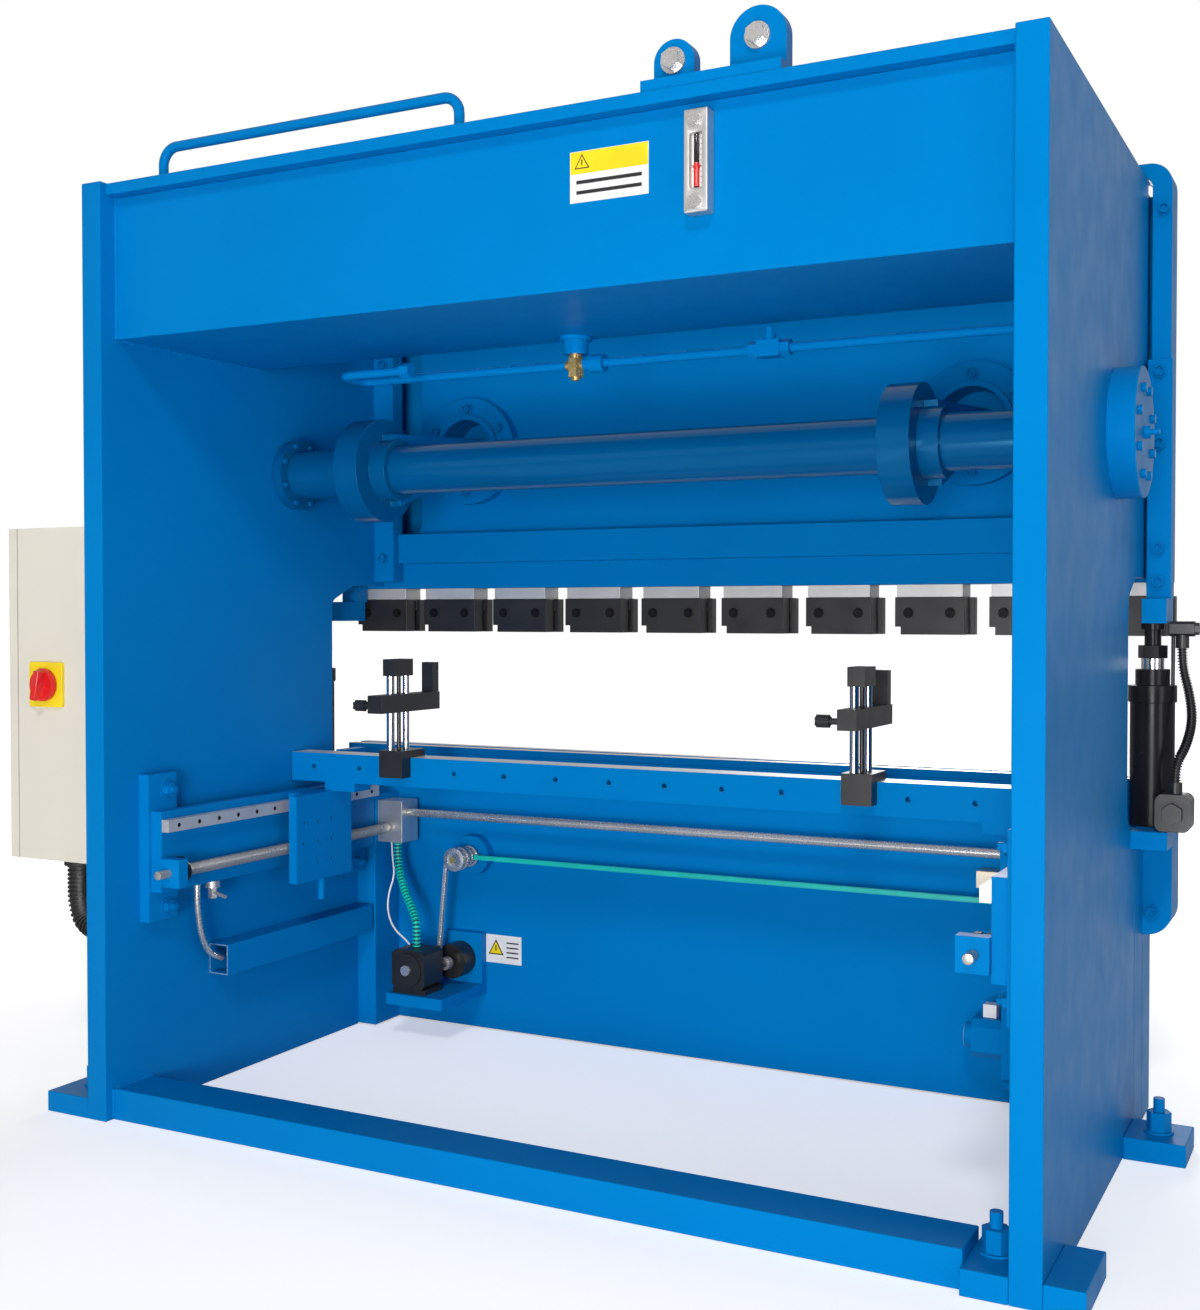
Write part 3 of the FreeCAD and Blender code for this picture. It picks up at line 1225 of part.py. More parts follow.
def drive_belts():
    """The tight run up from the motor, and the long toothed run to the right-hand stand."""
    wide, thick = RIBBED_BELT
    y0 = DRIVE_BELT_Y - (wide - BELT_W) / 2
    top = V(PULLEY_X - BELT_GROOVE - BELT_CLEAR, y0, PULLEY_Z)
    low = V(MOTOR_X + MOTOR_TAIL - MOTOR_PULLEY_R - BELT_CLEAR, y0, MOTOR_Z)
    back = V(-thick, 0, 0)
    outline = Part.makePolygon([top, low, low + back, top + back, top])
    upward = Part.Face(outline).extrude(V(0, wide, 0))
    start = PULLEY_X + GAUGE_GROOVE + BELT_CLEAR
    level = (PULLEY_Z - BELT_W / 2, PULLEY_Z + BELT_W / 2)
    across = box((start, STAND_X), (GAUGE_BELT_Y + 3, GAUGE_BELT_Y + 3 + 2 * BELT_T), level)
    return [upward, across]


def valve_block():
    """The right-hand stand: black manifold column, its blue valve and the ground block."""
    y0 = PULLEY_REAR + 40
    column = box((STAND_X, POST_FACE), (y0, BED_REAR), (STAND_LOW, GEAR_Z[0] - 2))
    knob = rod(24, (STAND_X - 22, y0 + 26, 352), (STAND_X, y0 + 26, 352))
    tip = rod(12, (STAND_X - 34, y0 + 26, 352), (STAND_X - 22, y0 + 26, 352))
    block = box((STAND_X - 76, STAND_X + 14), (BED_REAR - 46, BED_REAR), (GEAR_Z[0] - 2, GEAR_Z[0] + 32))
    return [column.fuse([knob, tip]).removeSplitter(), block]


def pump_unit():
    """The hydraulic unit in the right-hand corner: blue box, gear pump and its plug."""
    x0 = STAND_X - 8
    unit = box((x0, POST_FACE), (BED_REAR - 120, BED_REAR), (84, STAND_LOW))
    pump_y = BED_REAR - 70
    pump_z = 150
    body = box((x0 - 62, x0), (pump_y - 38, pump_y + 38), (pump_z - 36, pump_z + 40))
    edges = [e for e in body.Edges if abs(e.tangentAt(0).x) > 0.9]
    body = body.makeChamfer(14.0, edges)
    nose = rod(24, (x0 - 80, pump_y, pump_z), (x0 - 62, pump_y, pump_z))
    plug = box((x0 - 44, x0 - 18), (pump_y - 12, pump_y + 12), (pump_z + 40, pump_z + 66))
    stub = box((x0 + 20, x0 + 52), (BED_REAR - 90, BED_REAR - 50), (40, 84))
    knob = rod(11, (x0 - 6, BED_REAR - 70, 60), (x0 + 20, BED_REAR - 70, 60))
    return unit.fuse([body, nose, plug, stub, knob]).removeSplitter()


def spiral_hose():
    """The curly signal cable from the left bevel box down to the motor's gearbox."""
    x = -GEAR_X[0] - 20
    y = GEAR_Y[0] + 12
    points = [
        (x, y, GEAR_Z[0]),
        (x, y, GEAR_Z[0] - 48),
        (x + 34, y - 26, GEAR_Z[0] - 104),
        (MOTOR_X - 22, y - 50, GEAR_Z[0] - 158),
        (MOTOR_X - 10, y - 60, MOTOR_Z + MOTOR_HALF + 46),
        (MOTOR_X - 10, y - 60, MOTOR_Z + MOTOR_HALF),
    ]
    return tube_along(hose_path(points), CURLY_R)


# ------------------------------------------------------------------ everything
def make_nodes():
    plates = pair(side_plate())
    screws = pair(ball_screw())
    left_x, right_x = FINGER_X
    return {
        "side_plate_right": [plates[0]],
        "side_plate_left": [plates[1]],
        "oil_tank": [oil_tank()],
        "tank_lid": [tank_lid()],
        "handrail": [handrail()],
        "lifting_lugs": [lifting_lugs()],
        "sight_gauge": sight_gauge(),
        "bed": [bed()],
        "bed_posts": bed_posts(),
        "table_rail": [table_rail()],
        "foot_blocks": feet(),
        "anchor_bolts": anchor_bolts(),
        "rear_floor_beam": [floor_beam()],
        "ram_guides": guide_rails(),
        "torsion_bearings": bearing_parts(),
        "frame_bolts": frame_bolts(),
        "oil_pipes": oil_pipes(),
        "brass_fittings": brass_fittings(),
        "torsion_bar": [torsion_bar()],
        "torsion_levers": [torsion_lever(x) for x in LEVER_X],
        "ram_plate": [ram_plate()],
        "ram_shelf": [ram_shelf()],
        "ram_bosses": ram_bosses(),
        "ram_side_blocks": side_blocks(),
        "ram_bolts": ram_bolts(),
        "clamp_strips": clamp_strips(),
        "clamp_bodies": clamp_bodies(),
        "cylinder_brackets": cylinder_brackets(),
        "cylinder_barrels": cylinders(),
        "cylinder_rods": cylinder_rods(),
        "hose_fittings": hose_fittings(),
        "hydraulic_hoses": hydraulic_hoses(),
        "cabinet_box": [cabinet_box()],
        "cabinet_door": [cabinet_door()],
        "switch_plate": [switch_plate()],
        "switch_knob": [switch_knob()],
        "cable_conduit": cable_conduit(),
        "gauge_plates": gauge_plates(),
        "linear_rails": linear_rails(),
        "screw_bearings": screw_bearings(),
        "cable_channel": cable_channel(),
        "gauge_carriages": pair(gauge_carriage()),
        "gauge_beam": [gauge_beam()],
        "ball_screw_right": [screws[0]],
        "ball_screw_left": [screws[1]],
        "sync_shaft": [sync_shaft()],
        "finger_base_left": [finger_base(left_x)],
        "finger_base_right": [finger_base(right_x)],
        "finger_arm_left": [finger_arm(left_x)],
        "finger_arm_right": [finger_arm(right_x)],
        "finger_knob_left": [finger_knob(left_x)],
        "finger_knob_right": [finger_knob(right_x)],
        "drive_motor": [drive_motor()],
        "drive_brackets": drive_brackets(),
        "drive_pulley": [drive_pulley()],
        "motor_pulley": [motor_pulley()],
        "drive_belts": drive_belts(),
        "valve_block": valve_block(),
        "pump_unit": [pump_unit()],
        "spiral_hose": [spiral_hose()],
    }


HOSES = ("hydraulic_hoses", "spiral_hose", "cable_conduit")     # never at the machine's edges


def main():
    nodes = make_nodes()
    rigid = [s for name, solids in nodes.items() if name not in HOSES for s in solids]
    whole = Part.Compound(rigid).BoundBox
    shift = V(-(whole.XMin + whole.XMax) / 2, -(whole.YMin + whole.YMax) / 2, -whole.ZMin)
    os.makedirs("parts", exist_ok=True)
    for name, solids in nodes.items():
        shape = solids[0] if len(solids) == 1 else Part.Compound(solids)
        shape.translate(shift)
        shape.exportStep(os.path.join("parts", name + ".step"))
        bad = [s for s in solids if not s.isValid() or s.Volume <= 0]
        print(name, len(shape.Solids), round(shape.Volume / 1000), "bad" if bad else "")
    print("nodes", len(nodes), "shift", shift)


main()
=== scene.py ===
"""Finishes and fine detail of a press brake, laid out as an add-on and run as a script."""

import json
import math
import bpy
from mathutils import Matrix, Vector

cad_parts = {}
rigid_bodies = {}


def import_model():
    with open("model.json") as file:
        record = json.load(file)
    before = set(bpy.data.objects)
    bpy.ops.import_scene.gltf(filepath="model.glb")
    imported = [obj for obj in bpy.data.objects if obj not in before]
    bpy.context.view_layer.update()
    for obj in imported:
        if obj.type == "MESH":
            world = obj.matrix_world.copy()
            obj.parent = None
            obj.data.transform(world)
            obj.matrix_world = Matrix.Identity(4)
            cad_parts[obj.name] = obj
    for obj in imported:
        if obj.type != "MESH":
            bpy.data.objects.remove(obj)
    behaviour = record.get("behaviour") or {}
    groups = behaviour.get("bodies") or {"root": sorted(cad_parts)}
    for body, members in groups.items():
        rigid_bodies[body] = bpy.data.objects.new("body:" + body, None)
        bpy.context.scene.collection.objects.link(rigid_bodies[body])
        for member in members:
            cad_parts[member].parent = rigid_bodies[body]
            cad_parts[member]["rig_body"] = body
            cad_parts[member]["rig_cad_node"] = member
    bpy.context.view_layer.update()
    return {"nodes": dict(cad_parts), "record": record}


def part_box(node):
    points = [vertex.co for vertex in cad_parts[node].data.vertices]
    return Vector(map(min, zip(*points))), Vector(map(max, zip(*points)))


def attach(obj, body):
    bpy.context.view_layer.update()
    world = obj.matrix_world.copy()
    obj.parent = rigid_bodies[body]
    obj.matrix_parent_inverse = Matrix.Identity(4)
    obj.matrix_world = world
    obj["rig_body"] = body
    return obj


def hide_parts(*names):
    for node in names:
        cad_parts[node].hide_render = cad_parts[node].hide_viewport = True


bl_info = {
    "name": "Press Brake Finish",
    "version": (1, 0, 0),
    "blender": (4, 5, 0),
    "location": "View3D > Sidebar > Press Brake",
    "description": "Puts painted, ground and moulded finishes and fine detail on a press brake",
    "category": "Object",
}

import bpy
from mathutils import Vector

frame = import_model()
NODES = frame["nodes"]
BODY_OF = {n: b for b, names in frame["record"]["behaviour"]["bodies"].items() for n in names}

LEFT_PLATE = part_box("side_plate_left")
RIGHT_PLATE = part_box("side_plate_right")
# middle between the side plates, on the floor, level with their rear edges
DATUM = Vector(((LEFT_PLATE[0].x + RIGHT_PLATE[1].x) / 2, LEFT_PLATE[0].y, 0.0))

MATERIALS = {}  # every finish by its short name

UP = (0, 0, 1)
REAR = (0, -1, 0)
FRONT = (0, 1, 0)

# all lengths below are in metres unless they say millimetres
MERGE_DISTANCE = 0.00002  # corners of a node nearer than this become one
FLAT_ANGLE = 0.4          # degrees between faces that are merged into one flat face
FACING = 0.9              # share of a normal along an axis from which a face looks that way
SHARP_EDGE = 0.0005       # roundings of the smaller parts
FINE_EDGE = 0.0006
SMALL_EDGE = 0.0008
SOFT_EDGE = 0.0010


def mm(x, y, z):
    """A place in millimetres from the datum, in the frame's metres."""
    return DATUM + Vector((x, y, z)) / 1000.0


# ---- modelling helpers
def take(obj):
    """Selects one object and makes it the active one."""
    if bpy.context.mode != "OBJECT":
        bpy.ops.object.mode_set(mode="OBJECT")
    bpy.ops.object.select_all(action="DESELECT")
    obj.select_set(True)
    bpy.context.view_layer.objects.active = obj


def settle(obj):
    """Applies the object's place, turn and size to its mesh."""
    take(obj)
    bpy.ops.object.transform_apply(location=True, rotation=True, scale=True)
    return obj


def apply(obj, kind, **values):
    """Adds a modifier with these values and applies it."""
    take(obj)
    modifier = obj.modifiers.new(kind.title(), kind)
    for name, value in values.items():
        setattr(modifier, name, value)
    bpy.ops.object.modifier_apply(modifier=modifier.name)
    return obj


def round_edges(obj, width, segments=2, angle=35.0):
    """Rounds the edges whose faces meet at more than an angle in degrees."""
    return apply(
        obj, "BEVEL", width=width, segments=segments, limit_method="ANGLE",
        angle_limit=math.radians(angle), use_clamp_overlap=True,
        miter_outer="MITER_ARC" if segments > 1 else "MITER_SHARP",
    )


def smooth(obj, angle=32.0):
    """Shades smooth across the edges under an angle in degrees."""
    take(obj)
    bpy.ops.object.shade_smooth_by_angle(angle=math.radians(angle))
    return obj


def block(low, high, bevel=0.0008, segments=2):
    """A block between two corners with rounded edges."""
    low, high = Vector(low), Vector(high)
    bpy.ops.object.select_all(action="DESELECT")
    bpy.ops.mesh.primitive_cube_add(size=1.0, location=(low + high) / 2)
    obj = bpy.context.object
    obj.scale = [max(abs(s), 1e-5) for s in high - low]
    settle(obj)
    if bevel:
        round_edges(obj, bevel, segments)
    return obj


def facing_up(centre, normal):
    """A test on a face: it looks up."""
    return normal.z > FACING


def pick_faces(obj, test):
    """Selects the faces whose centre and normal pass the test, and opens edit mode on them."""
    take(obj)
    bpy.ops.object.mode_set(mode="EDIT")
    bpy.ops.mesh.select_mode(type="FACE")
    bpy.ops.mesh.select_all(action="DESELECT")
    bpy.ops.object.mode_set(mode="OBJECT")
    for face in obj.data.polygons:
        face.select = test(face.center, face.normal)
    bpy.ops.object.mode_set(mode="EDIT")


def turned(steps, at=(0, 0, 0), along=UP, sides=48, bevel=0.0004, open_ends=False):
    """A turned piece: steps of (radius, length) from a point; a negative length sinks."""
    radius, length = steps[0]
    bpy.ops.object.select_all(action="DESELECT")
    bpy.ops.mesh.primitive_cylinder_add(
        vertices=sides, radius=radius, depth=length, location=(0, 0, length / 2)
    )
    obj = settle(bpy.context.object)
    top = length
    pick_faces(obj, facing_up)
    for wide, long in steps[1:]:
        if abs(wide - radius) > 1e-7:
            bpy.ops.mesh.extrude_region_move()
            factor = wide / radius
            bpy.ops.transform.resize(
                value=(factor, factor, 1.0), center_override=(0, 0, top)
            )
        if long:
            bpy.ops.mesh.extrude_region_move(
                TRANSFORM_OT_translate={"value": (0, 0, long)}
            )
        radius = wide
        top += long
    bpy.ops.object.mode_set(mode="OBJECT")
    if open_ends:
        pick_faces(
            obj, lambda centre, normal: abs(normal.z) > FACING and centre.xy.length < 1e-6
        )
        bpy.ops.mesh.delete(type="ONLY_FACE")
        bpy.ops.object.mode_set(mode="OBJECT")
    if bevel:
        round_edges(obj, bevel, 2, 40.0)
    return aim(obj, at, along)


def aim(obj, at, along):
    """Turns an object's +Z to a direction and moves its origin to a point."""
    obj.rotation_mode = "QUATERNION"
    obj.rotation_quaternion = Vector(along).to_track_quat("Z", "Y")
    obj.location = Vector(at)
    settle(obj)
    obj.rotation_mode = "XYZ"
    return obj


def joined(objs):
    """One object out of several."""
    take(objs[0])
    for obj in objs[1:]:
        obj.select_set(True)
    bpy.ops.object.join()
    return bpy.context.object


def paint(obj, finish, name=None):
    """Gives an object one finish, and a name if there is one."""
    obj.data.materials.clear()
    obj.data.materials.append(MATERIALS[finish])
    if name:
        obj.name = name
        obj.data.name = name
    return obj


def spline(name, points):
    """A smooth open line through the middle of a route."""
    curve = bpy.data.curves.new(name, "CURVE")
    curve.dimensions = "3D"
    line = curve.splines.new("NURBS")
    line.points.add(len(points) - 1)
    for point, place in zip(line.points, points):
        point.co = (*place, 1.0)
    line.order_u = 3
    line.use_endpoint_u = True
    line.resolution_u = 12
    obj = bpy.data.objects.new(name, curve)
    bpy.context.scene.collection.objects.link(obj)
    return obj


def repeated(obj, count, step):
    """Repeats an object in a row."""
    return apply(
        obj, "ARRAY", count=count, use_relative_offset=False, use_constant_offset=True,
        constant_offset_displace=step,
    )


def ribbed(points, radius, pitch, depth, sides=20, finishes=()):
    """A tube along a route, one ribbed ring repeated; finishes are the rib's and the groove's, and
    a darker groove finish is painted shade in the grooves.
    """
    route = spline("route", points)
    ring = turned(
        [(radius - depth, pitch * 0.3), (radius, pitch * 0.4), (radius - depth, pitch * 0.3)],
        along=(1, 0, 0), sides=sides, bevel=0.0, open_ends=True,
    )
    for finish in finishes:
        ring.data.materials.append(MATERIALS[finish])
    if len(finishes) > 1:
        # faces under this radius take the groove's finish; the curly cable's darker teal there is
        # painted shade
        groove = radius - depth * 0.6
        for face in ring.data.polygons:
            face.material_index = int(face.center.yz.length < groove)
    apply(
        ring, "ARRAY", fit_type="FIT_CURVE", curve=route, use_relative_offset=False,
        use_constant_offset=True, constant_offset_displace=(pitch, 0, 0),
        use_merge_vertices=True, merge_threshold=0.00005,
    )
    apply(ring, "CURVE", object=route, deform_axis="POS_X")
    bpy.data.objects.remove(route)
    return smooth(ring, 40.0)


def put(obj, body, replaces=()):
    """Hands a finished piece to its body, and hides the nodes it stands for."""
    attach(obj, body)
    if replaces:
        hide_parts(*replaces)
    return obj


def dressed(node, finish, bevel, segments=2, **zones):
    """A merged copy of a node with rounded edges; zones are finishes with a test on a face."""
    source = NODES[node]
    obj = source.copy()
    obj.data = source.data.copy()
    obj.parent = None
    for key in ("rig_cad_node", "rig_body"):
        if key in obj:
            del obj[key]
    bpy.context.scene.collection.objects.link(obj)
    obj.name = node + "_finished"
    obj.data.name = obj.name
    take(obj)
    bpy.ops.object.mode_set(mode="EDIT")
    bpy.ops.mesh.select_all(action="SELECT")
    bpy.ops.mesh.remove_doubles(threshold=MERGE_DISTANCE)
    bpy.ops.mesh.dissolve_limited(angle_limit=math.radians(FLAT_ANGLE))
    bpy.ops.object.mode_set(mode="OBJECT")
    round_edges(obj, bevel, segments)
    smooth(obj)
    apply(obj, "WEIGHTED_NORMAL", keep_sharp=True)
    paint(obj, finish)
    for number, (other, test) in enumerate(zones.items(), 1):
        obj.data.materials.append(MATERIALS[other])
        for face in obj.data.polygons:
            if test(face.center, face.normal):
                face.material_index = number
    return put(obj, BODY_OF[node], [node])


# ---- finishes
WHITE_SHEEN = (1.0, 1.0, 1.0)
BLUE_SHEEN = (0.06, 0.42, 0.9)   # tint of the blue enamel's reflections
BAR_SHEEN = (0.2, 0.7, 1.0)
COAT_ROUGHNESS = 0.1
OLD_TONE = 0.82                  # darkest tone of a stained metal
CLOUD_SPREAD = 0.14              # how much darker a moulded finish gets
GLASS_INDEX = 1.49


def toned(colour, share):
    """A darker or lighter tone of a colour."""
    return tuple(min(1.0, c * share) for c in colour)


def new_material(name, colour, metallic=0.0, coat=0.0, specular=0.5):
    """A material with its node tree, links and shader."""
    material = bpy.data.materials.new(name)
    material.use_nodes = True
    nodes = material.node_tree.nodes
    links = material.node_tree.links
    shader = nodes["Principled BSDF"]
    shader.inputs["Base Color"].default_value = (*colour, 1.0)
    shader.inputs["Metallic"].default_value = metallic
    shader.inputs["Coat Weight"].default_value = coat
    shader.inputs["Coat Roughness"].default_value = COAT_ROUGHNESS
    shader.inputs["Specular IOR Level"].default_value = specular
    return material, nodes, links, shader


def place_of(nodes, links, stretch=(1, 1, 1)):
    """The place on the object, squeezed along its axes."""
    coordinate = nodes.new("ShaderNodeTexCoord")
    mapping = nodes.new("ShaderNodeMapping")
    mapping.inputs["Scale"].default_value = stretch
    links.new(coordinate.outputs["Object"], mapping.inputs["Vector"])
    return mapping.outputs["Vector"]


def noise(nodes, links, vector, scale, detail=2.0, roughness=0.5):
    texture = nodes.new("ShaderNodeTexNoise")
    texture.inputs["Scale"].default_value = scale
    texture.inputs["Detail"].default_value = detail
    texture.inputs["Roughness"].default_value = roughness
    links.new(vector, texture.inputs["Vector"])
    return texture.outputs["Fac"]


def between(nodes, links, factor, low, high, start=0.3, end=0.7):
    """A factor's range from start to end, carried over to low to high."""
    ranged = nodes.new("ShaderNodeMapRange")
    ranged.inputs["From Min"].default_value = start
    ranged.inputs["From Max"].default_value = end
    ranged.inputs["To Min"].default_value = low
    ranged.inputs["To Max"].default_value = high
    links.new(factor, ranged.inputs["Value"])
    return ranged.outputs["Result"]


def times(nodes, links, one, other):
    product = nodes.new("ShaderNodeMath")
    product.operation = "MULTIPLY"
    links.new(one, product.inputs[0])
    links.new(other, product.inputs[1])
    return product.outputs["Value"]


def tinted(nodes, links, factor, colour_a, colour_b, start=0.35, end=0.65):
    """A colour that goes from one to the other with a factor."""
    ramp = nodes.new("ShaderNodeValToRGB")
    ramp.color_ramp.elements[0].position = start
    ramp.color_ramp.elements[1].position = end
    ramp.color_ramp.elements[0].color = (*colour_a, 1.0)
    ramp.color_ramp.elements[1].color = (*colour_b, 1.0)
    links.new(factor, ramp.inputs["Fac"])
    return ramp.outputs["Color"]


def bumped(nodes, links, shader, height, strength, distance):
    bump = nodes.new("ShaderNodeBump")
    bump.inputs["Strength"].default_value = strength
    bump.inputs["Distance"].default_value = distance
    links.new(height, bump.inputs["Height"])
    links.new(bump.outputs["Normal"], shader.inputs["Normal"])


def painted(
    name, colour, rough=(0.34, 0.44), peel=0.04, spread=0.04, tint=BLUE_SHEEN, specular=0.15
):
    """Sprayed enamel: faint drifts of tone, orange peel and a patchy gloss."""
    material, nodes, links, shader = new_material(name, colour, specular=specular)
    shader.inputs["Specular Tint"].default_value = (*tint, 1.0)
    vector = place_of(nodes, links)
    drift = noise(nodes, links, vector, 2.3, 3.0)
    darker, lighter = toned(colour, 1.0 - spread), toned(colour, 1.0 + spread)
    links.new(tinted(nodes, links, drift, darker, lighter), shader.inputs["Base Color"])
    gloss = noise(nodes, links, vector, 14.0, 4.0)
    links.new(between(nodes, links, gloss, *rough), shader.inputs["Roughness"])
    bumped(nodes, links, shader, noise(nodes, links, vector, 420.0, 2.0), peel, 0.0004)
    return material


def brushed(name, colour, stretch, rough=(0.26, 0.42), metallic=0.75):
    """Ground or brushed metal with fine lines along one direction."""
    material, nodes, links, shader = new_material(name, colour, metallic=metallic)
    lines = noise(nodes, links, place_of(nodes, links, stretch), 1.0, 5.0, 0.6)
    stains = noise(nodes, links, place_of(nodes, links), 9.0, 4.0)
    darker = toned(colour, OLD_TONE)
    links.new(tinted(nodes, links, stains, darker, colour), shader.inputs["Base Color"])
    links.new(between(nodes, links, lines, *rough), shader.inputs["Roughness"])
    bumped(nodes, links, shader, lines, 0.12, 0.0003)
    return material


def moulded(name, colour, rough=(0.35, 0.5), grain=260.0, depth=0.1, coat=0.0):
    """Plastic, rubber or oxide with a fine grain."""
    material, nodes, links, shader = new_material(name, colour, coat=coat)
    vector = place_of(nodes, links)
    cloud = noise(nodes, links, vector, 18.0, 3.0)
    darker = toned(colour, 1.0 - CLOUD_SPREAD)
    links.new(tinted(nodes, links, cloud, darker, colour), shader.inputs["Base Color"])
    links.new(between(nodes, links, cloud, *rough), shader.inputs["Roughness"])
    bumped(nodes, links, shader, noise(nodes, links, vector, grain, 2.0), depth, 0.0003)
    return material


def clear_glass(name, colour):
    """Clear plastic with faint smears."""
    material, nodes, links, shader = new_material(name, colour)
    shader.inputs["Transmission Weight"].default_value = 1.0
    shader.inputs["IOR"].default_value = GLASS_INDEX
    smear = noise(nodes, links, place_of(nodes, links), 60.0, 3.0)
    links.new(between(nodes, links, smear, 0.02, 0.09), shader.inputs["Roughness"])
    return material


class PRESS_PG_finish(bpy.types.PropertyGroup):
    """Colours and sizes that a user would change."""

    enamel: bpy.props.FloatVectorProperty(
        name="Enamel", description="Colour of the machine's paint", subtype="COLOR",
        default=(0.0, 0.182, 0.50), min=0.0, max=1.0,
    )
    enamel_dark: bpy.props.FloatVectorProperty(
        name="Bar enamel", description="Colour of the torsion bar's paint", subtype="COLOR",
        default=(0.0, 0.100, 0.28), min=0.0, max=1.0,
    )
    cabinet: bpy.props.FloatVectorProperty(
        name="Cabinet", description="Colour of the control cabinet", subtype="COLOR",
        default=(0.72, 0.68, 0.60), min=0.0, max=1.0,
    )
    belt: bpy.props.FloatVectorProperty(
        name="Belt", description="Colour of the long belt and the curly cable", subtype="COLOR",
        default=(0.0, 0.62, 0.52), min=0.0, max=1.0,
    )
    plate_edge: bpy.props.FloatProperty(
        name="Plate edge", description="Rounding of the thick plates' edges", unit="LENGTH",
        default=0.0022, min=0.0002, max=0.006,
    )
    part_edge: bpy.props.FloatProperty(
        name="Part edge", description="Rounding of the smaller parts' edges", unit="LENGTH",
        default=0.0010, min=0.0001, max=0.003,
    )
    tooth_pitch: bpy.props.FloatProperty(
        name="Belt tooth pitch", description="Distance from tooth to tooth", unit="LENGTH",
        default=0.005, min=0.002, max=0.02,
    )
    screw_lead: bpy.props.FloatProperty(
        name="Screw lead", description="Travel of the gauge for one turn of its screws",
        unit="LENGTH", default=0.020, min=0.005, max=0.04,
    )
    lens: bpy.props.FloatProperty(
        name="Lens", description="Focal length of the camera", unit="CAMERA",
        default=42.69, min=20.0, max=120.0,
    )


# key, name, colour, stretch of the lines, roughness and metallic share
METALS = (
    ("ground", "ground_steel", (0.66, 0.65, 0.63), (1.5, 260, 260), (0.34, 0.5), 0.5),
    ("turned", "turned_steel", (0.66, 0.65, 0.64), (300, 20, 300), (0.2, 0.34)),
    ("screw", "screw_steel", (0.50, 0.49, 0.47), (180, 180, 180), (0.24, 0.42)),
    ("alloy", "cast_alloy", (0.70, 0.69, 0.67), (140, 140, 140), (0.34, 0.5), 0.85),
    ("tan_alloy", "tan_alloy", (0.62, 0.56, 0.46), (3, 220, 220), (0.34, 0.5), 0.7),
    ("chrome", "hard_chrome", (0.72, 0.72, 0.73), (60, 60, 60), (0.07, 0.16), 1.0),
    ("brass", "turned_brass", (0.72, 0.50, 0.19), (160, 160, 160), (0.22, 0.36)),
)
# key, name, colour, roughness, fineness and depth of the grain, and coat
PLASTICS = (
    ("oxide", "black_oxide", (0.014, 0.014, 0.015), (0.3, 0.46), 500.0, 0.08),
    ("black_plastic", "black_plastic", (0.018, 0.018, 0.018), (0.4, 0.55)),
    ("rubber", "black_rubber", (0.012, 0.012, 0.012), (0.42, 0.6), 300.0, 0.15),
    ("red", "red_plastic", (0.72, 0.012, 0.014), (0.22, 0.34), 300.0, 0.04, 0.3),
    ("yellow", "yellow_plastic", (0.93, 0.70, 0.012), (0.28, 0.4), 300.0, 0.04),
    ("white", "white_film", (0.86, 0.86, 0.85), (0.3, 0.4), 200.0, 0.03),
    ("olive", "grease_film", (0.24, 0.23, 0.10), (0.3, 0.5), 120.0, 0.2),
)


class PRESS_OT_finishes(bpy.types.Operator):
    """Makes the machine's finishes"""

    bl_idname = "press.finishes"
    bl_label = "Finishes"

    def execute(self, context):
        look = context.scene.press_finish
        blue = tuple(look.enamel)
        made = MATERIALS
        dark = tuple(look.enamel_dark)
        made["enamel"] = painted("blue_enamel", blue)
        made["bolt_enamel"] = painted(
            "bolt_enamel", toned(blue, 0.95), rough=(0.26, 0.38), peel=0.03
        )
        made["pipe_enamel"] = painted(
            "pipe_enamel", toned(blue, 1.06), rough=(0.24, 0.34), peel=0.03
        )
        made["bar_enamel"] = painted(
            "bar_enamel", dark, rough=(0.14, 0.22), peel=0.01, tint=BAR_SHEEN, specular=0.5
        )
        made["oxide_gloss"] = painted(
            "black_enamel", (0.010, 0.010, 0.012), rough=(0.2, 0.3), peel=0.03, tint=WHITE_SHEEN
        )
        made["cream"] = painted(
            "cream_powder_coat", tuple(look.cabinet), rough=(0.4, 0.5), peel=0.06, spread=0.02,
            tint=WHITE_SHEEN,
        )
        for key, *values in METALS:
            made[key] = brushed(*values)
        for key, *values in PLASTICS:
            made[key] = moulded(*values)
        made["teal"] = moulded("teal_rubber", tuple(look.belt), (0.36, 0.5), 300.0, 0.08)
        # a much darker teal for the curly cable's grooves: painted shade between its coils
        made["teal_groove_shade"] = moulded("teal_rubber_painted_groove_shade", toned(look.belt, 0.22), (0.5, 0.6))
        made["smoke"] = clear_glass("smoked_glass", (0.09, 0.09, 0.10))
        return {"FINISHED"}


# ---- plain frame
PLATES = (
    "side_plate_left", "side_plate_right", "oil_tank", "tank_lid", "bed", "bed_posts",
    "rear_floor_beam", "foot_blocks",
)
FITTED = ("lifting_lugs", "handrail", "ram_guides", "cylinder_brackets", "gauge_plates")
COCK_SIDE = 0.5       # the small steel cock is further left of the middle than this
RAIL_FACE = 0.792     # from the middle to the face of the rails that their screws go into
RAIL_HOLE = 0.0052    # radius of a screw hole's wide mouth
RAIL_LIP = 0.0006     # rim of a hole that stays ground
RAIL_SEAT = 0.001     # back face of a rail, kept out of the holes
RAIL_END = 0.002      # end faces of a rail, kept out of the holes
LUG_CLEAR = 0.02      # bolts this far above the side plates hold the lifting lugs
REAR_DEPTH = 13.0     # bolts behind this, in millimetres, are on the rear face
REAR_REACH = 0.6      # and the bare ones among them are this near the middle
CHANNEL_REAR = 292.0  # the bent tube is behind this, in millimetres


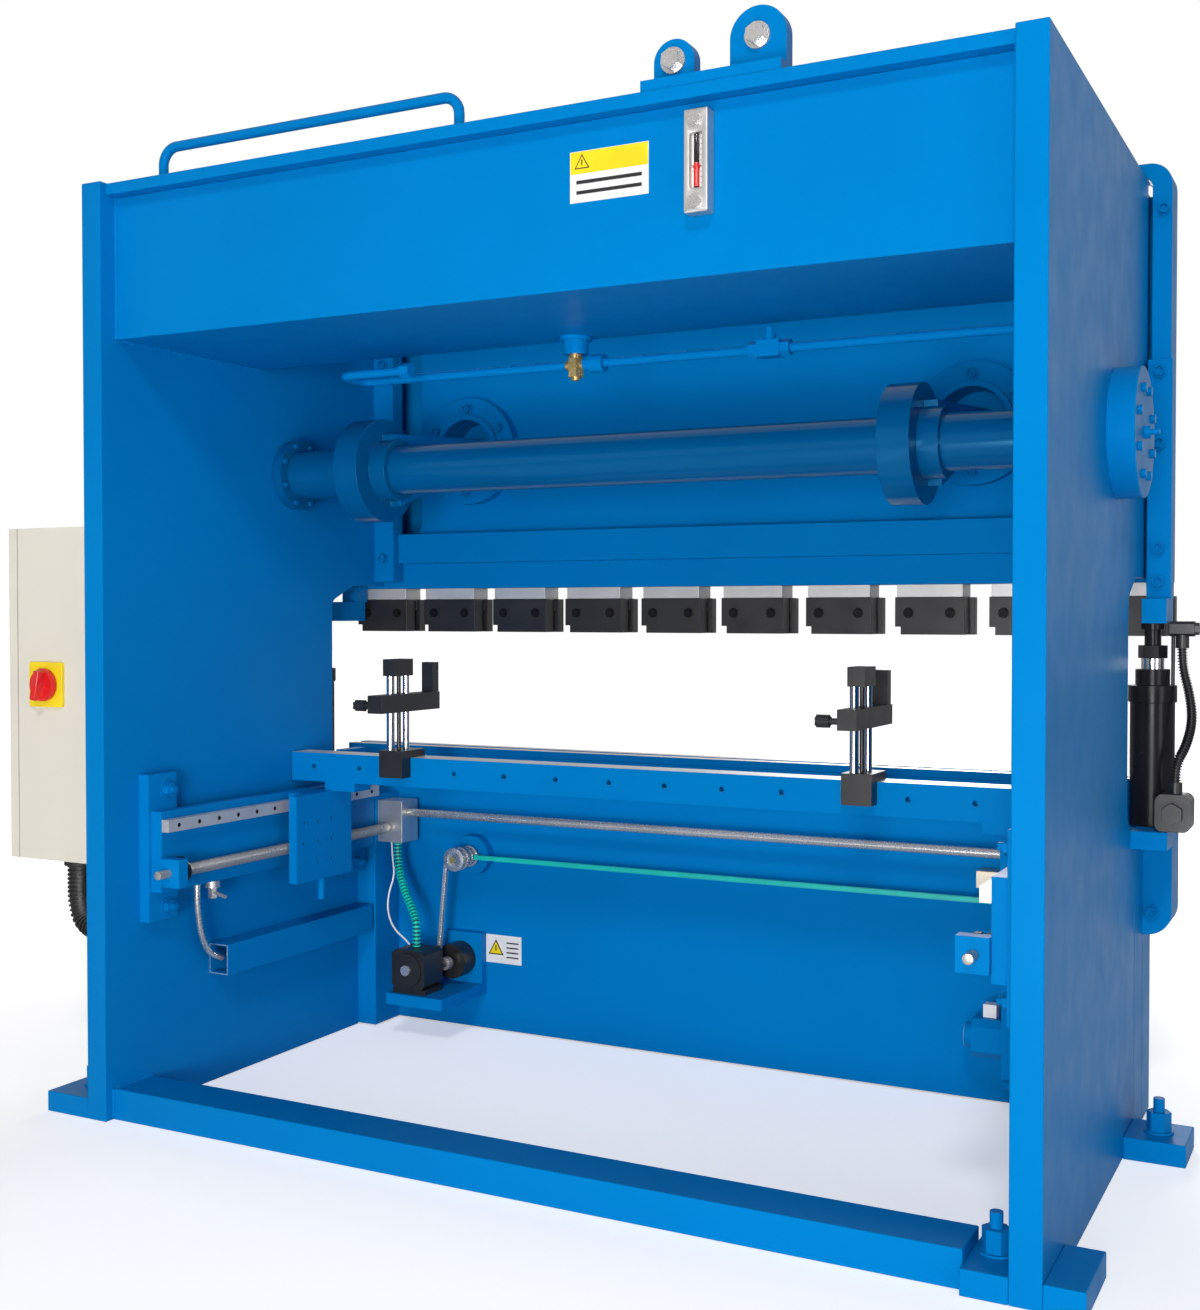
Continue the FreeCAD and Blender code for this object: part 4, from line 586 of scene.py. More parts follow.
class PRESS_OT_frame(bpy.types.Operator):
    """Finishes the side plates, tank, bed and the parts fixed to them"""

    bl_idname = "press.frame"
    bl_label = "Frame"

    def execute(self, context):
        look = context.scene.press_finish
        middle = DATUM.x
        for node in PLATES:
            dressed(node, "enamel", look.plate_edge, 3)
        for node in FITTED:
            dressed(node, "enamel", look.part_edge)
        reach = RIGHT_PLATE[0].x - middle + 0.001
        inner = lambda centre, normal: abs(centre.x - middle) < reach
        dressed("torsion_bearings", "enamel", look.part_edge, bar_enamel=inner)
        dressed("anchor_bolts", "bolt_enamel", SMALL_EDGE)
        dressed("table_rail", "enamel", SMALL_EDGE, ground=facing_up)
        dressed("oil_pipes", "pipe_enamel", FINE_EDGE)
        low_x = middle - COCK_SIDE
        cock = lambda centre, normal: centre.x < low_x
        dressed("brass_fittings", "brass", SHARP_EDGE, turned=cock)
        self.rails()
        rear_y = mm(0, REAR_DEPTH, 0).y
        lug_z = LEFT_PLATE[1].z + LUG_CLEAR
        bare = lambda centre, normal: (
            centre.z > lug_z or (centre.y < rear_y and abs(centre.x - middle) < REAR_REACH)
        )
        dressed("frame_bolts", "bolt_enamel", FINE_EDGE, turned=bare)
        tube_y = mm(0, CHANNEL_REAR, 0).y
        bent = lambda centre, normal: centre.y < tube_y
        dressed("cable_channel", "enamel", look.part_edge, turned=bent)
        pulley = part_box("drive_pulley")[0]
        axle = lambda centre, normal: centre.y < pulley.y + 0.002 and centre.z > pulley.z
        dressed("drive_brackets", "enamel", look.part_edge, olive=axle)
        return {"FINISHED"}

    def rails(self):
        """Ground rails with dark screw holes."""
        low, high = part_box("linear_rails")
        level = (low.z + high.z) / 2
        face = RAIL_FACE + RAIL_LIP
        seat = high.x - DATUM.x - RAIL_SEAT
        hole = lambda centre, normal: (
            abs(centre.z - level) < RAIL_HOLE
            and face < abs(centre.x - DATUM.x) < seat
            and low.y + RAIL_END < centre.y < high.y - RAIL_END
        )
        dressed("linear_rails", "ground", SHARP_EDGE, oxide=hole)


LEVER_HUB = 0.113   # radius of the levers' hubs, which have the bar's paint
CLAMP_RISE = 0.004  # bolts up to this far above the clamp bodies are on the clamps
COLLAR_RISE = 0.02  # the rods' black collars begin this far above the barrels


class PRESS_OT_ram(bpy.types.Operator):
    """Finishes the ram, its clamps, the torsion bar and the cylinders"""

    bl_idname = "press.ram"
    bl_label = "Ram"

    def execute(self, context):
        look = context.scene.press_finish
        for node in ("ram_plate", "ram_shelf"):
            dressed(node, "enamel", look.plate_edge, 3)
        for node in ("ram_bosses", "ram_side_blocks"):
            dressed(node, "enamel", look.part_edge)
        low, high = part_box("torsion_bar")
        axle = ((low + high) / 2).yz
        hub = lambda centre, normal: (centre.yz - axle).length < LEVER_HUB
        dressed("torsion_levers", "enamel", look.part_edge, 3, bar_enamel=hub)
        dressed("torsion_bar", "bar_enamel", look.part_edge)
        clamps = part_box("clamp_bodies")[1].z + CLAMP_RISE
        on_clamp = lambda centre, normal: centre.z < clamps
        dressed("ram_bolts", "bolt_enamel", FINE_EDGE, oxide_gloss=on_clamp)
        dressed("clamp_strips", "ground", SMALL_EDGE)
        dressed("clamp_bodies", "oxide", SOFT_EDGE, 3)
        dressed("cylinder_barrels", "oxide_gloss", SOFT_EDGE)
        barrel_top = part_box("cylinder_barrels")[1].z
        collar = lambda centre, normal: centre.z > barrel_top + COLLAR_RISE
        dressed("cylinder_rods", "chrome", SMALL_EDGE, oxide_gloss=collar)
        dressed("hose_fittings", "oxide", SMALL_EDGE)
        return {"FINISHED"}


# ---- cabinet
SPINDLE = (0.0089, 0.0075)  # radius and length of the switch handle's spindle
HANDLE_TURN = 12.0          # degrees that the handle leans from upright
CABINET_EDGE = 0.0016


class PRESS_OT_cabinet(bpy.types.Operator):
    """Finishes the control cabinet and models its main switch and conduit"""

    bl_idname = "press.cabinet"
    bl_label = "Cabinet"

    def execute(self, context):
        dressed("cabinet_box", "cream", CABINET_EDGE, 3)
        dressed("cabinet_door", "cream", CABINET_EDGE, 3)
        dressed("switch_plate", "yellow", SOFT_EDGE, 3)
        self.handle()
        self.conduit()
        return {"FINISHED"}

    def handle(self):
        """A round dial with a raised grip across it."""
        low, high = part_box("switch_knob")
        centre = (low + high) / 2
        radius = (high.x - low.x) / 2
        half_grip = 0.0075
        at = (centre.x, high.y - SPINDLE[1], centre.z)
        dial = turned(
            [(radius, 0.009), (radius - 0.0025, 0.003), (radius - 0.006, -0.002)],
            at, REAR, sides=64, bevel=0.0009,
        )
        grip = block(
            (-half_grip, -radius + 0.002, 0.0),
            (half_grip, radius - 0.004, high.y - SPINDLE[1] - low.y),
            bevel=0.003, segments=4,
        )
        take(grip)
        bpy.ops.object.mode_set(mode="EDIT")
        bpy.ops.mesh.select_all(action="SELECT")
        bpy.ops.transform.rotate(
            value=math.radians(HANDLE_TURN), orient_axis="Z", center_override=(0, 0, 0)
        )
        bpy.ops.object.mode_set(mode="OBJECT")
        aim(grip, at, REAR)
        spindle = turned([SPINDLE], (centre.x, high.y, centre.z), REAR, sides=24)
        obj = paint(joined([dial, grip, spindle]), "red", "switch_handle")
        smooth(obj, 40)
        put(obj, "main_switch", ["switch_knob"])

    def conduit(self):
        """A corrugated hose from the cabinet's floor into the left plate, and the gland on top."""
        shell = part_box("cabinet_box")
        x = shell[0].x + 0.133
        y = shell[0].y + 0.046
        top = shell[0].z
        end = LEFT_PLATE[0].x
        collar = turned([(0.033, 0.008), (0.029, 0.004)], (x, y, top - 0.012), UP,
                        sides=24, bevel=0.001)
        route = [
            (x, y, top - 0.010), (x, y, top - 0.045), (x, y, top - 0.085),
            (x + 0.012, y, top - 0.122), (x + 0.045, y, top - 0.138),
            (end - 0.05, y, top - 0.140), (end, y, top - 0.140),
        ]
        hose = ribbed(route, radius=0.0268, pitch=0.0085, depth=0.0032, sides=28)
        gland = turned(
            [(0.013, 0.006), (0.011, 0.002), (0.0125, 0.011), (0.008, 0.004)],
            (shell[1].x - 0.022, shell[0].y + 0.020, shell[1].z), UP,
            sides=12, bevel=SMALL_EDGE,
        )
        obj = paint(joined([collar, hose, gland]), "rubber", "corrugated_conduit")
        smooth(obj, 50)
        put(obj, "frame", ["cable_conduit"])


# ---- hoses
# routes in millimetres from the datum; a hose's x is outwards from the middle
HOSE_ROUTE = (
    (982, 858, 914), (982, 858, 880), (996, 850, 832), (1004, 834, 782),
    (996, 810, 736), (980, 792, 704), (980, 792, 671),
)
LEFT_FURTHER = 84  # the left cylinder stands this much further out
CURLY_ROUTE = (
    (-762, 834, 438), (-762, 834, 390), (-728, 808, 334),
    (-680, 784, 280), (-668, 774, 258), (-668, 774, 212),
)
WIRE_ROUTE = (
    (-782, 838, 440), (-776, 832, 398), (-762, 822, 362), (-774, 812, 318),
    (-768, 800, 276), (-742, 790, 240), (-698, 782, 218), (-688, 778, 208),
)


class PRESS_OT_hoses(bpy.types.Operator):
    """Models the cylinders' guarded hoses and the gauge's curly cable"""

    bl_idname = "press.hoses"
    bl_label = "Hoses"

    def execute(self, context):
        hoses = []
        for side in (-1, 1):
            further = LEFT_FURTHER if side < 0 else 0
            hoses.append(ribbed(
                [mm(side * (x + further), y, z) for x, y, z in HOSE_ROUTE],
                radius=0.0089, pitch=0.0054, depth=0.0024,
                finishes=("oxide_gloss", "rubber"),
            ))
        guard = joined(hoses)
        guard.name = "guarded_hoses"
        put(guard, "frame", ["hydraulic_hoses"])
        # the grooves' darker teal is painted shade between the coils
        curly = ribbed(
            [mm(*place) for place in CURLY_ROUTE],
            radius=0.0098, pitch=0.0086, depth=0.0042, sides=16,
            finishes=("teal", "teal_groove_shade"),
        )
        curly.name = "curly_cable"
        put(curly, "frame", ["spiral_hose"])
        sheath = ribbed(
            [mm(*place) for place in WIRE_ROUTE],
            radius=0.0024, pitch=0.006, depth=0.0002, sides=10,
        )
        paint(sheath, "white", "signal_wire")
        put(sheath, "frame")
        return {"FINISHED"}


# ---- back gauge
GEARBOX_DEPTH = 0.4   # the bearings in front of this are the alloy gearboxes
FOOT_HEIGHT = 0.058   # of a finger's foot
CAP_HEIGHT = 0.036    # of the cap that joins a finger's posts
JACK_DEPTH = 557.0    # of a finger's thin black jack screw, in millimetres
JACK_RADIUS = 0.0055
KNOB_TIP = 0.013      # radius of the steel tip of a finger's knob
THREAD_START = 0.058  # plain length at the rear of a ball screw
THREAD_END = 0.024    # and at its front
NECK_RADIUS = 0.0085  # of a ball screw's plain ends
THREAD_LOBES = 4      # grooves side by side around a ball screw
THREAD_DEPTH = 0.055  # half a groove's depth, as a share of the radius


class PRESS_OT_back_gauge(bpy.types.Operator):
    """Finishes the back gauge's beam, carriages and fingers, and models its threaded screws"""

    bl_idname = "press.back_gauge"
    bl_label = "Back gauge"

    def execute(self, context):
        look = context.scene.press_finish
        dressed("gauge_beam", "enamel", SOFT_EDGE, ground=facing_up)
        dressed("gauge_carriages", "enamel", look.part_edge)
        middle_y = DATUM.y + GEARBOX_DEPTH
        gearbox = lambda centre, normal: centre.y > middle_y
        dressed("screw_bearings", "enamel", look.part_edge, alloy=gearbox)
        dressed("sync_shaft", "turned", FINE_EDGE)
        for side in ("left", "right"):
            self.finger(side)
            self.screw(side, look.screw_lead)
        return {"FINISHED"}

    def finger(self, side):
        """Black finger on two chromed posts."""
        low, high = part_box("finger_base_" + side)
        foot_top = low.z + FOOT_HEIGHT
        cap_low = high.z - CAP_HEIGHT
        jack = Vector(((low.x + high.x) / 2 + 0.001, mm(0, JACK_DEPTH, 0).y))

        def on_post(centre, normal):
            level = foot_top + 0.0005 < centre.z < cap_low - 0.0005
            return level and abs(normal.z) < 0.5 and (centre.xy - jack).length > JACK_RADIUS

        dressed("finger_base_" + side, "oxide", 0.0009, chrome=on_post)
        dressed("finger_arm_" + side, "oxide", 0.0009)
        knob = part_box("finger_knob_" + side)
        axis = Vector(((knob[0].y + knob[1].y) / 2, (knob[0].z + knob[1].z) / 2))
        tip = lambda centre, normal: (
            normal.x < -FACING and (centre.yz - axis).length < KNOB_TIP
        )
        dressed("finger_knob_" + side, "black_plastic", SMALL_EDGE, turned=tip)

    def screw(self, side, lead):
        """A lobed ring wound along the screw, plain ends, and the ring clamped behind it."""
        node = "ball_screw_" + side
        low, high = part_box(node)
        centre = (low + high) / 2
        radius = (high.x - low.x) / 2
        start = low.y + THREAD_START
        end = high.y - THREAD_END
        turns = int((end - start) / lead)
        bpy.ops.object.select_all(action="DESELECT")
        bpy.ops.mesh.primitive_circle_add(vertices=32, radius=radius)
        thread = bpy.context.object
        for vertex in thread.data.vertices:
            angle = math.atan2(vertex.co.y, vertex.co.x)
            vertex.co *= 1.0 - THREAD_DEPTH * (1.0 - math.cos(THREAD_LOBES * angle))
        apply(
            thread, "SCREW", axis="Z", angle=math.tau, screw_offset=lead, iterations=turns,
            steps=14, render_steps=14, use_smooth_shade=True,
        )
        aim(thread, (centre.x, start, centre.z), FRONT)
        reach = start + turns * lead
        body = turned(
            [(NECK_RADIUS, start - low.y + 0.001), (radius * 0.93, 0.001)],
            (centre.x, low.y, centre.z), FRONT, sides=32,
        )
        tail = turned(
            [(radius, end - reach), (NECK_RADIUS, high.y - end)],
            (centre.x, reach, centre.z), FRONT, sides=32,
        )
        obj = paint(joined([thread, body, tail]), "screw", node + "_threaded")
        smooth(obj, 60)
        put(obj, BODY_OF[node], [node])
        ring = turned([(0.0243, 0.014), (0.0205, 0.002)], (centre.x, start - 0.0014, centre.z),
                      FRONT, sides=32, bevel=SOFT_EDGE)
        ear = block(
            (centre.x - 0.006, start - 0.0010, centre.z + 0.020),
            (centre.x + 0.006, start + 0.0120, centre.z + 0.029),
            SOFT_EDGE,
        )
        clamp = paint(joined([ring, ear]), "oxide_gloss", node + "_clamp_ring")
        smooth(clamp, 40)
        put(clamp, BODY_OF[node])


# ---- drive
# (radius, length) of the double pulley from its rear flange to its front one
WHEEL_STEPS = (
    (0.027, 0.005), (0.021, 0.016), (0.027, 0.005), (0.018, 0.018), (0.024, 0.004),
    (0.018, 0.014), (0.025, 0.006),
)
RIM_STEPS = ((0.0225, 0.0006), (0.0175, 0.0), (0.0165, -0.0005))
LONG_BELT = (0.0184, 0.052)   # start of its run from the axle and from the wheel's rear end
TOOTH_SHARE = 0.22            # of the pitch that a tooth slopes over on each side
TOOTH_RISE = 0.0018
SHORT_BELT = (0.0214, 0.009)  # radius of the wheel under it, and its middle from the rear end
RIB_PITCH = 0.0066
HALF_BELT = 0.005


class PRESS_OT_drive(bpy.types.Operator):
    """Finishes the gauge drive and models its pulleys and belts"""

    bl_idname = "press.drive"
    bl_label = "Drive"

    def execute(self, context):
        motor_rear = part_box("drive_motor")[0].y
        hub = lambda centre, normal: centre.y < motor_rear + 0.0052
        dressed("drive_motor", "oxide", SOFT_EDGE, turned=hub)
        self.pulleys()
        self.long_belt(context.scene.press_finish.tooth_pitch)
        self.short_belt()
        self.valve()
        self.pump()
        return {"FINISHED"}

    def valve(self):
        """Blue bracket, black body and the tan block on top."""
        low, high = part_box("valve_block")
        bracket_x = low.x + 0.076
        block_low = high.z - 0.0345
        tan = lambda centre, normal: centre.z > block_low
        blue = lambda centre, normal: (
            centre.x < bracket_x - 0.0005 and not tan(centre, normal)
        )
        dressed("valve_block", "oxide", SOFT_EDGE, enamel=blue, tan_alloy=tan)

    def pump(self):
        """Blue pump with a bright tip, a white plug on top and a dark stub below."""
        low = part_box("pump_unit")[0]
        gear_x = low.x + 0.079
        tip = lambda centre, normal: centre.x < low.x + 0.006
        plug = lambda centre, normal: centre.z > low.z + 0.152 and centre.x < gear_x
        stub = lambda centre, normal: centre.z < low.z + 0.043 and centre.x > gear_x + 0.022
        dressed("pump_unit", "enamel", 0.0014, alloy=tip, white=plug, oxide=stub)

    def pulleys(self):
        """The double pulley with its flanges, and the motor's pulley."""
        low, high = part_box("drive_pulley")
        centre = (low + high) / 2
        at = (centre.x, low.y, centre.z)
        wheel = turned(WHEEL_STEPS, at, FRONT, sides=56, bevel=SHARP_EDGE)
        rim = turned(RIM_STEPS, at, REAR, sides=56, bevel=0.0002)
        wheel = paint(joined([wheel, rim]), "turned", "double_pulley_wheel")
        smooth(wheel, 35)
        put(wheel, "double_pulley", ["drive_pulley"])
        dressed("motor_pulley", "turned", FINE_EDGE)

    def long_belt(self, pitch):
        """The straight run of the long belt, one tooth repeated."""
        low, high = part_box("drive_belts")
        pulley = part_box("drive_pulley")
        start = (pulley[0].x + pulley[1].x) / 2 + LONG_BELT[0]
        level = (pulley[0].z + pulley[1].z) / 2
        tooth = block((0, 0.002, -0.0042), (pitch, 0.006, 0.0042), 0.0)
        pick_faces(tooth, lambda centre, normal: abs(normal.z) > FACING)
        bpy.ops.mesh.inset(thickness=pitch * TOOTH_SHARE)
        bpy.ops.mesh.extrude_region_shrink_fatten(
            TRANSFORM_OT_shrink_fatten={"value": TOOTH_RISE}
        )
        bpy.ops.object.mode_set(mode="OBJECT")
        tooth.location = (start, pulley[0].y + LONG_BELT[1], level)
        settle(tooth)
        repeated(tooth, int((high.x - start) / pitch), (pitch, 0, 0))
        paint(tooth, "teal", "long_toothed_belt")
        put(tooth, "frame", ["drive_belts"])

    def short_belt(self):
        """One run of the ribbed belt between the motor's pulley and the double one."""
        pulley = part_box("drive_pulley")
        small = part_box("motor_pulley")
        level = (pulley[0].z + pulley[1].z) / 2
        middle = (pulley[0].x + pulley[1].x) / 2
        top = Vector((middle - SHORT_BELT[0] - HALF_BELT, 0, level))
        foot = Vector((small[0].x - 0.0004 - HALF_BELT, 0, (small[0].z + small[1].z) / 2))
        run = top - foot
        rib = block((-0.0048, -0.0064, 0.0), (0.0048, 0.0064, 0.0046), 0.0018)
        repeated(rib, int(run.length / RIB_PITCH), (0, 0, RIB_PITCH))
        core = block((-0.0034, -0.0052, 0.0), (0.0034, 0.0052, run.length - 0.001), 0.0004)
        band = joined([rib, core])
        band.rotation_euler = (0, math.atan2(run.x, run.z), 0)
        band.location = (foot.x, small[0].y + SHORT_BELT[1], foot.z)
        settle(band)
        paint(band, "alloy", "short_ribbed_belt")
        put(band, "frame")


# ---- oil gauge
GAUGE_RIM = 0.010      # width of the frame around the opening
GAUGE_WINDOW = 0.084   # height of the opening
GAUGE_RECESS = 0.010   # depth of the opening
CARD_HALF = 0.0415     # half the height of the card in it
TUBE_PROUD = 0.0056    # distance from the card to the middle of the tube
MARK_PITCH = 0.0085
MARK_COUNT = 9


class PRESS_OT_oil_gauge(bpy.types.Operator):
    """Models the oil level gauge with its card, tube and float"""

    bl_idname = "press.oil_gauge"
    bl_label = "Oil gauge"

    def execute(self, context):
        low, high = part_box("sight_gauge")
        middle = (low + high) / 2
        body = block(low, high, 0.0)
        pick_faces(body, lambda centre, normal: normal.y < -FACING)
        bpy.ops.mesh.inset(thickness=GAUGE_RIM)
        bpy.ops.transform.resize(
            value=(1, 1, GAUGE_WINDOW / (high.z - low.z - 2 * GAUGE_RIM)),
            center_override=tuple(middle),
        )
        bpy.ops.mesh.extrude_region_move(
            TRANSFORM_OT_translate={"value": (0, GAUGE_RECESS, 0)}
        )
        bpy.ops.object.mode_set(mode="OBJECT")
        round_edges(body, 0.0022, 3)
        smooth(body, 40)
        paint(body, "alloy", "oil_gauge_body")
        put(body, "frame", ["sight_gauge"])
        z0, z1 = middle.z - CARD_HALF, middle.z + CARD_HALF
        back = low.y + GAUGE_RECESS
        card = block(
            (middle.x - 0.0095, back - 0.0012, z0), (middle.x + 0.0095, back - 0.0002, z1), 0.0003
        )
        paint(card, "white", "oil_gauge_card")
        put(card, "frame")
        at = (middle.x, back - TUBE_PROUD, z0 + 0.001)
        tube = turned([(0.0042, z1 - z0 - 0.002)], at, UP, sides=24)
        paint(tube, "smoke", "oil_gauge_tube")
        smooth(tube, 40)
        put(tube, "frame")
        red = turned([(0.0044, 0.030), (0.0062, 0.003), (0.0044, 0.004)], at, UP, sides=24)
        paint(red, "red", "oil_gauge_float")
        smooth(red, 40)
        put(red, "frame")
        marks = []
        for i in range(MARK_COUNT):
            marks.append(block(
                (middle.x + 0.0050, back - 0.0016, z0 + 0.008 + MARK_PITCH * i),
                (middle.x + 0.0092, back - 0.0011, z0 + 0.0088 + MARK_PITCH * i),
                0.0,
            ))
        scale = paint(joined(marks), "oxide", "oil_gauge_marks")
        put(scale, "frame")
        return {"FINISHED"}


# ---- signs
SHEET = 0.0008               # thickness of a sign
PRINT = (0.0011, 0.0007)     # faces of its bars and band, out from what it is fixed to
MARK = (0.0020, 0.0014)      # and of the upright mark on the triangle
TRIANGLES = ((1.0, 0.0003, "oxide"), (0.78, 0.0005, "yellow"))  # scale, rise and finish


class PRESS_OT_signs(bpy.types.Operator):
    """Models the two plain warning plates without words"""

    bl_idname = "press.signs"
    bl_label = "Signs"

    def execute(self, context):
        tank_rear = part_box("oil_tank")[0].y
        bed_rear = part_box("bed")[0].y
        self.plate("tank_sign", (135, 277), (1645, 1728), tank_rear, True)
        self.plate("bed_sign", (-563, -467), (160, 226), bed_rear, False)
        return {"FINISHED"}

    def plate(self, name, across, level, face, band):
        """A sheet with a triangle and plain bars; across and level are in millimetres."""
        (x0, _, z0), (x1, _, z1) = mm(across[0], 0, level[0]), mm(across[1], 0, level[1])
        height = z1 - z0

        def printed(left, right, bottom, top, faces=PRINT):
            return block((left, face - faces[0], bottom), (right, face - faces[1], top), 0.0)

        sheet = block((x0, face - SHEET, z0), (x1, face, z1), 0.0003)
        paint(sheet, "white", name + "_sheet")
        put(sheet, "frame")
        if band:
            field = printed(x0 + 0.001, x1 - 0.001, z1 - height * 0.44, z1 - 0.001)
            paint(field, "yellow", name + "_band")
            put(field, "frame")
            size, side, drop = height * 0.19, height * 0.27, height * 0.25
        else:
            size, side, drop = height * 0.36, height * 0.42, height * 0.52
        spot = Vector((x0 + side, 0, z1 - drop))
        for scale, rise, colour in TRIANGLES:
            bpy.ops.object.select_all(action="DESELECT")
            bpy.ops.mesh.primitive_cylinder_add(vertices=3, radius=size * scale, depth=0.0006)
            shape = bpy.context.object
            shape.rotation_euler = (math.radians(90), 0, 0)
            shape.location = (spot.x, face - 0.0010 - rise, spot.z)
            settle(shape)
            paint(shape, colour, f"{name}_triangle_{colour}")
            put(shape, "frame")
        bars = []
        for row in range(2 if band else 4):
            if band:
                z = z0 + height * (0.36 - 0.20 * row)
                bars.append(printed(x0 + 0.012, x1 - 0.012, z, z + height * 0.07))
            else:
                z = z0 + height * (0.72 - 0.17 * row)
                bars.append(printed(x1 - 0.040, x1 - 0.008, z, z + height * 0.05))
        mark = printed(
            spot.x - size * 0.07, spot.x + size * 0.07,
            spot.z - size * 0.12, spot.z + size * 0.42, MARK,
        )
        obj = paint(joined(bars + [mark]), "oxide", name + "_bars")
        put(obj, "frame")


# ---- welds
WELD_STOPS = (0, 0.34, 0.66, 1)  # shares of a seam's length where its line has a point


class PRESS_OT_welds(bpy.types.Operator):
    """Lays the painted weld beads along the frame's inside corners"""

    bl_idname = "press.welds"
    bl_label = "Welds"

    def execute(self, context):
        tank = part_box("oil_tank")
        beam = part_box("rear_floor_beam")
        seams = []
        for side, plate_x in ((1, LEFT_PLATE[1].x), (-1, RIGHT_PLATE[0].x)):
            x = plate_x + side * 0.001
            seams.append(((x, tank[0].y, tank[0].z), (x, tank[0].y, tank[1].z)))
            seams.append(((x, tank[0].y, tank[0].z), (x, tank[1].y, tank[0].z)))
        left = LEFT_PLATE[1].x + 0.001
        seams.append(((left, beam[0].y, beam[1].z), (left, beam[1].y, beam[1].z)))
        seams.append(((left, beam[0].y, 0.006), (left, beam[0].y, beam[1].z)))
        beads = []
        for start, end in seams:
            run = Vector(end) - Vector(start)
            route = [Vector(start) + run * share for share in WELD_STOPS]
            beads.append(ribbed(route, radius=0.0046, pitch=0.0068, depth=0.0010, sides=10))
        obj = paint(joined(beads), "enamel", "weld_beads")
        put(obj, "frame")
        return {"FINISHED"}


# ---- stage
LIGHTS = (  # name, place, width in metres and power in watts
    ("key", (2.2, -5.6, 5.8), 1.2, 165.0),
    ("front", (1.8, -6.2, 0.9), 1.8, 150.0),
    ("low", (0.6, -3.0, 0.25), 0.9, 30.0),
    ("side", (4.6, -2.6, 1.0), 1.6, 34.0),
    ("back", (-0.6, 5.5, 3.2), 2.0, 150.0),
)
LIGHT_TARGET = (0, 0, 0.95)
SKY_DIFFUSE = 0.16        # share of the white sky that lights the faces
SKY_GLOSSY = 0.62         # and that shows in the reflections
FLOOR_GLOW = (0.45, 1.0)  # glow of the floor at the near and the far distance
FLOOR_FADE = (1.2, 4.5)   # those distances from the middle
CAMERA_PLACE = (1351.8, -2195.5, 979.5)  # millimetres from the datum
CAMERA_TURN = 27.4        # degrees to the left of straight ahead
CAMERA_DOWN = 1.2         # degrees below level
CAMERA_SHIFT = (-0.0014, -0.0073)


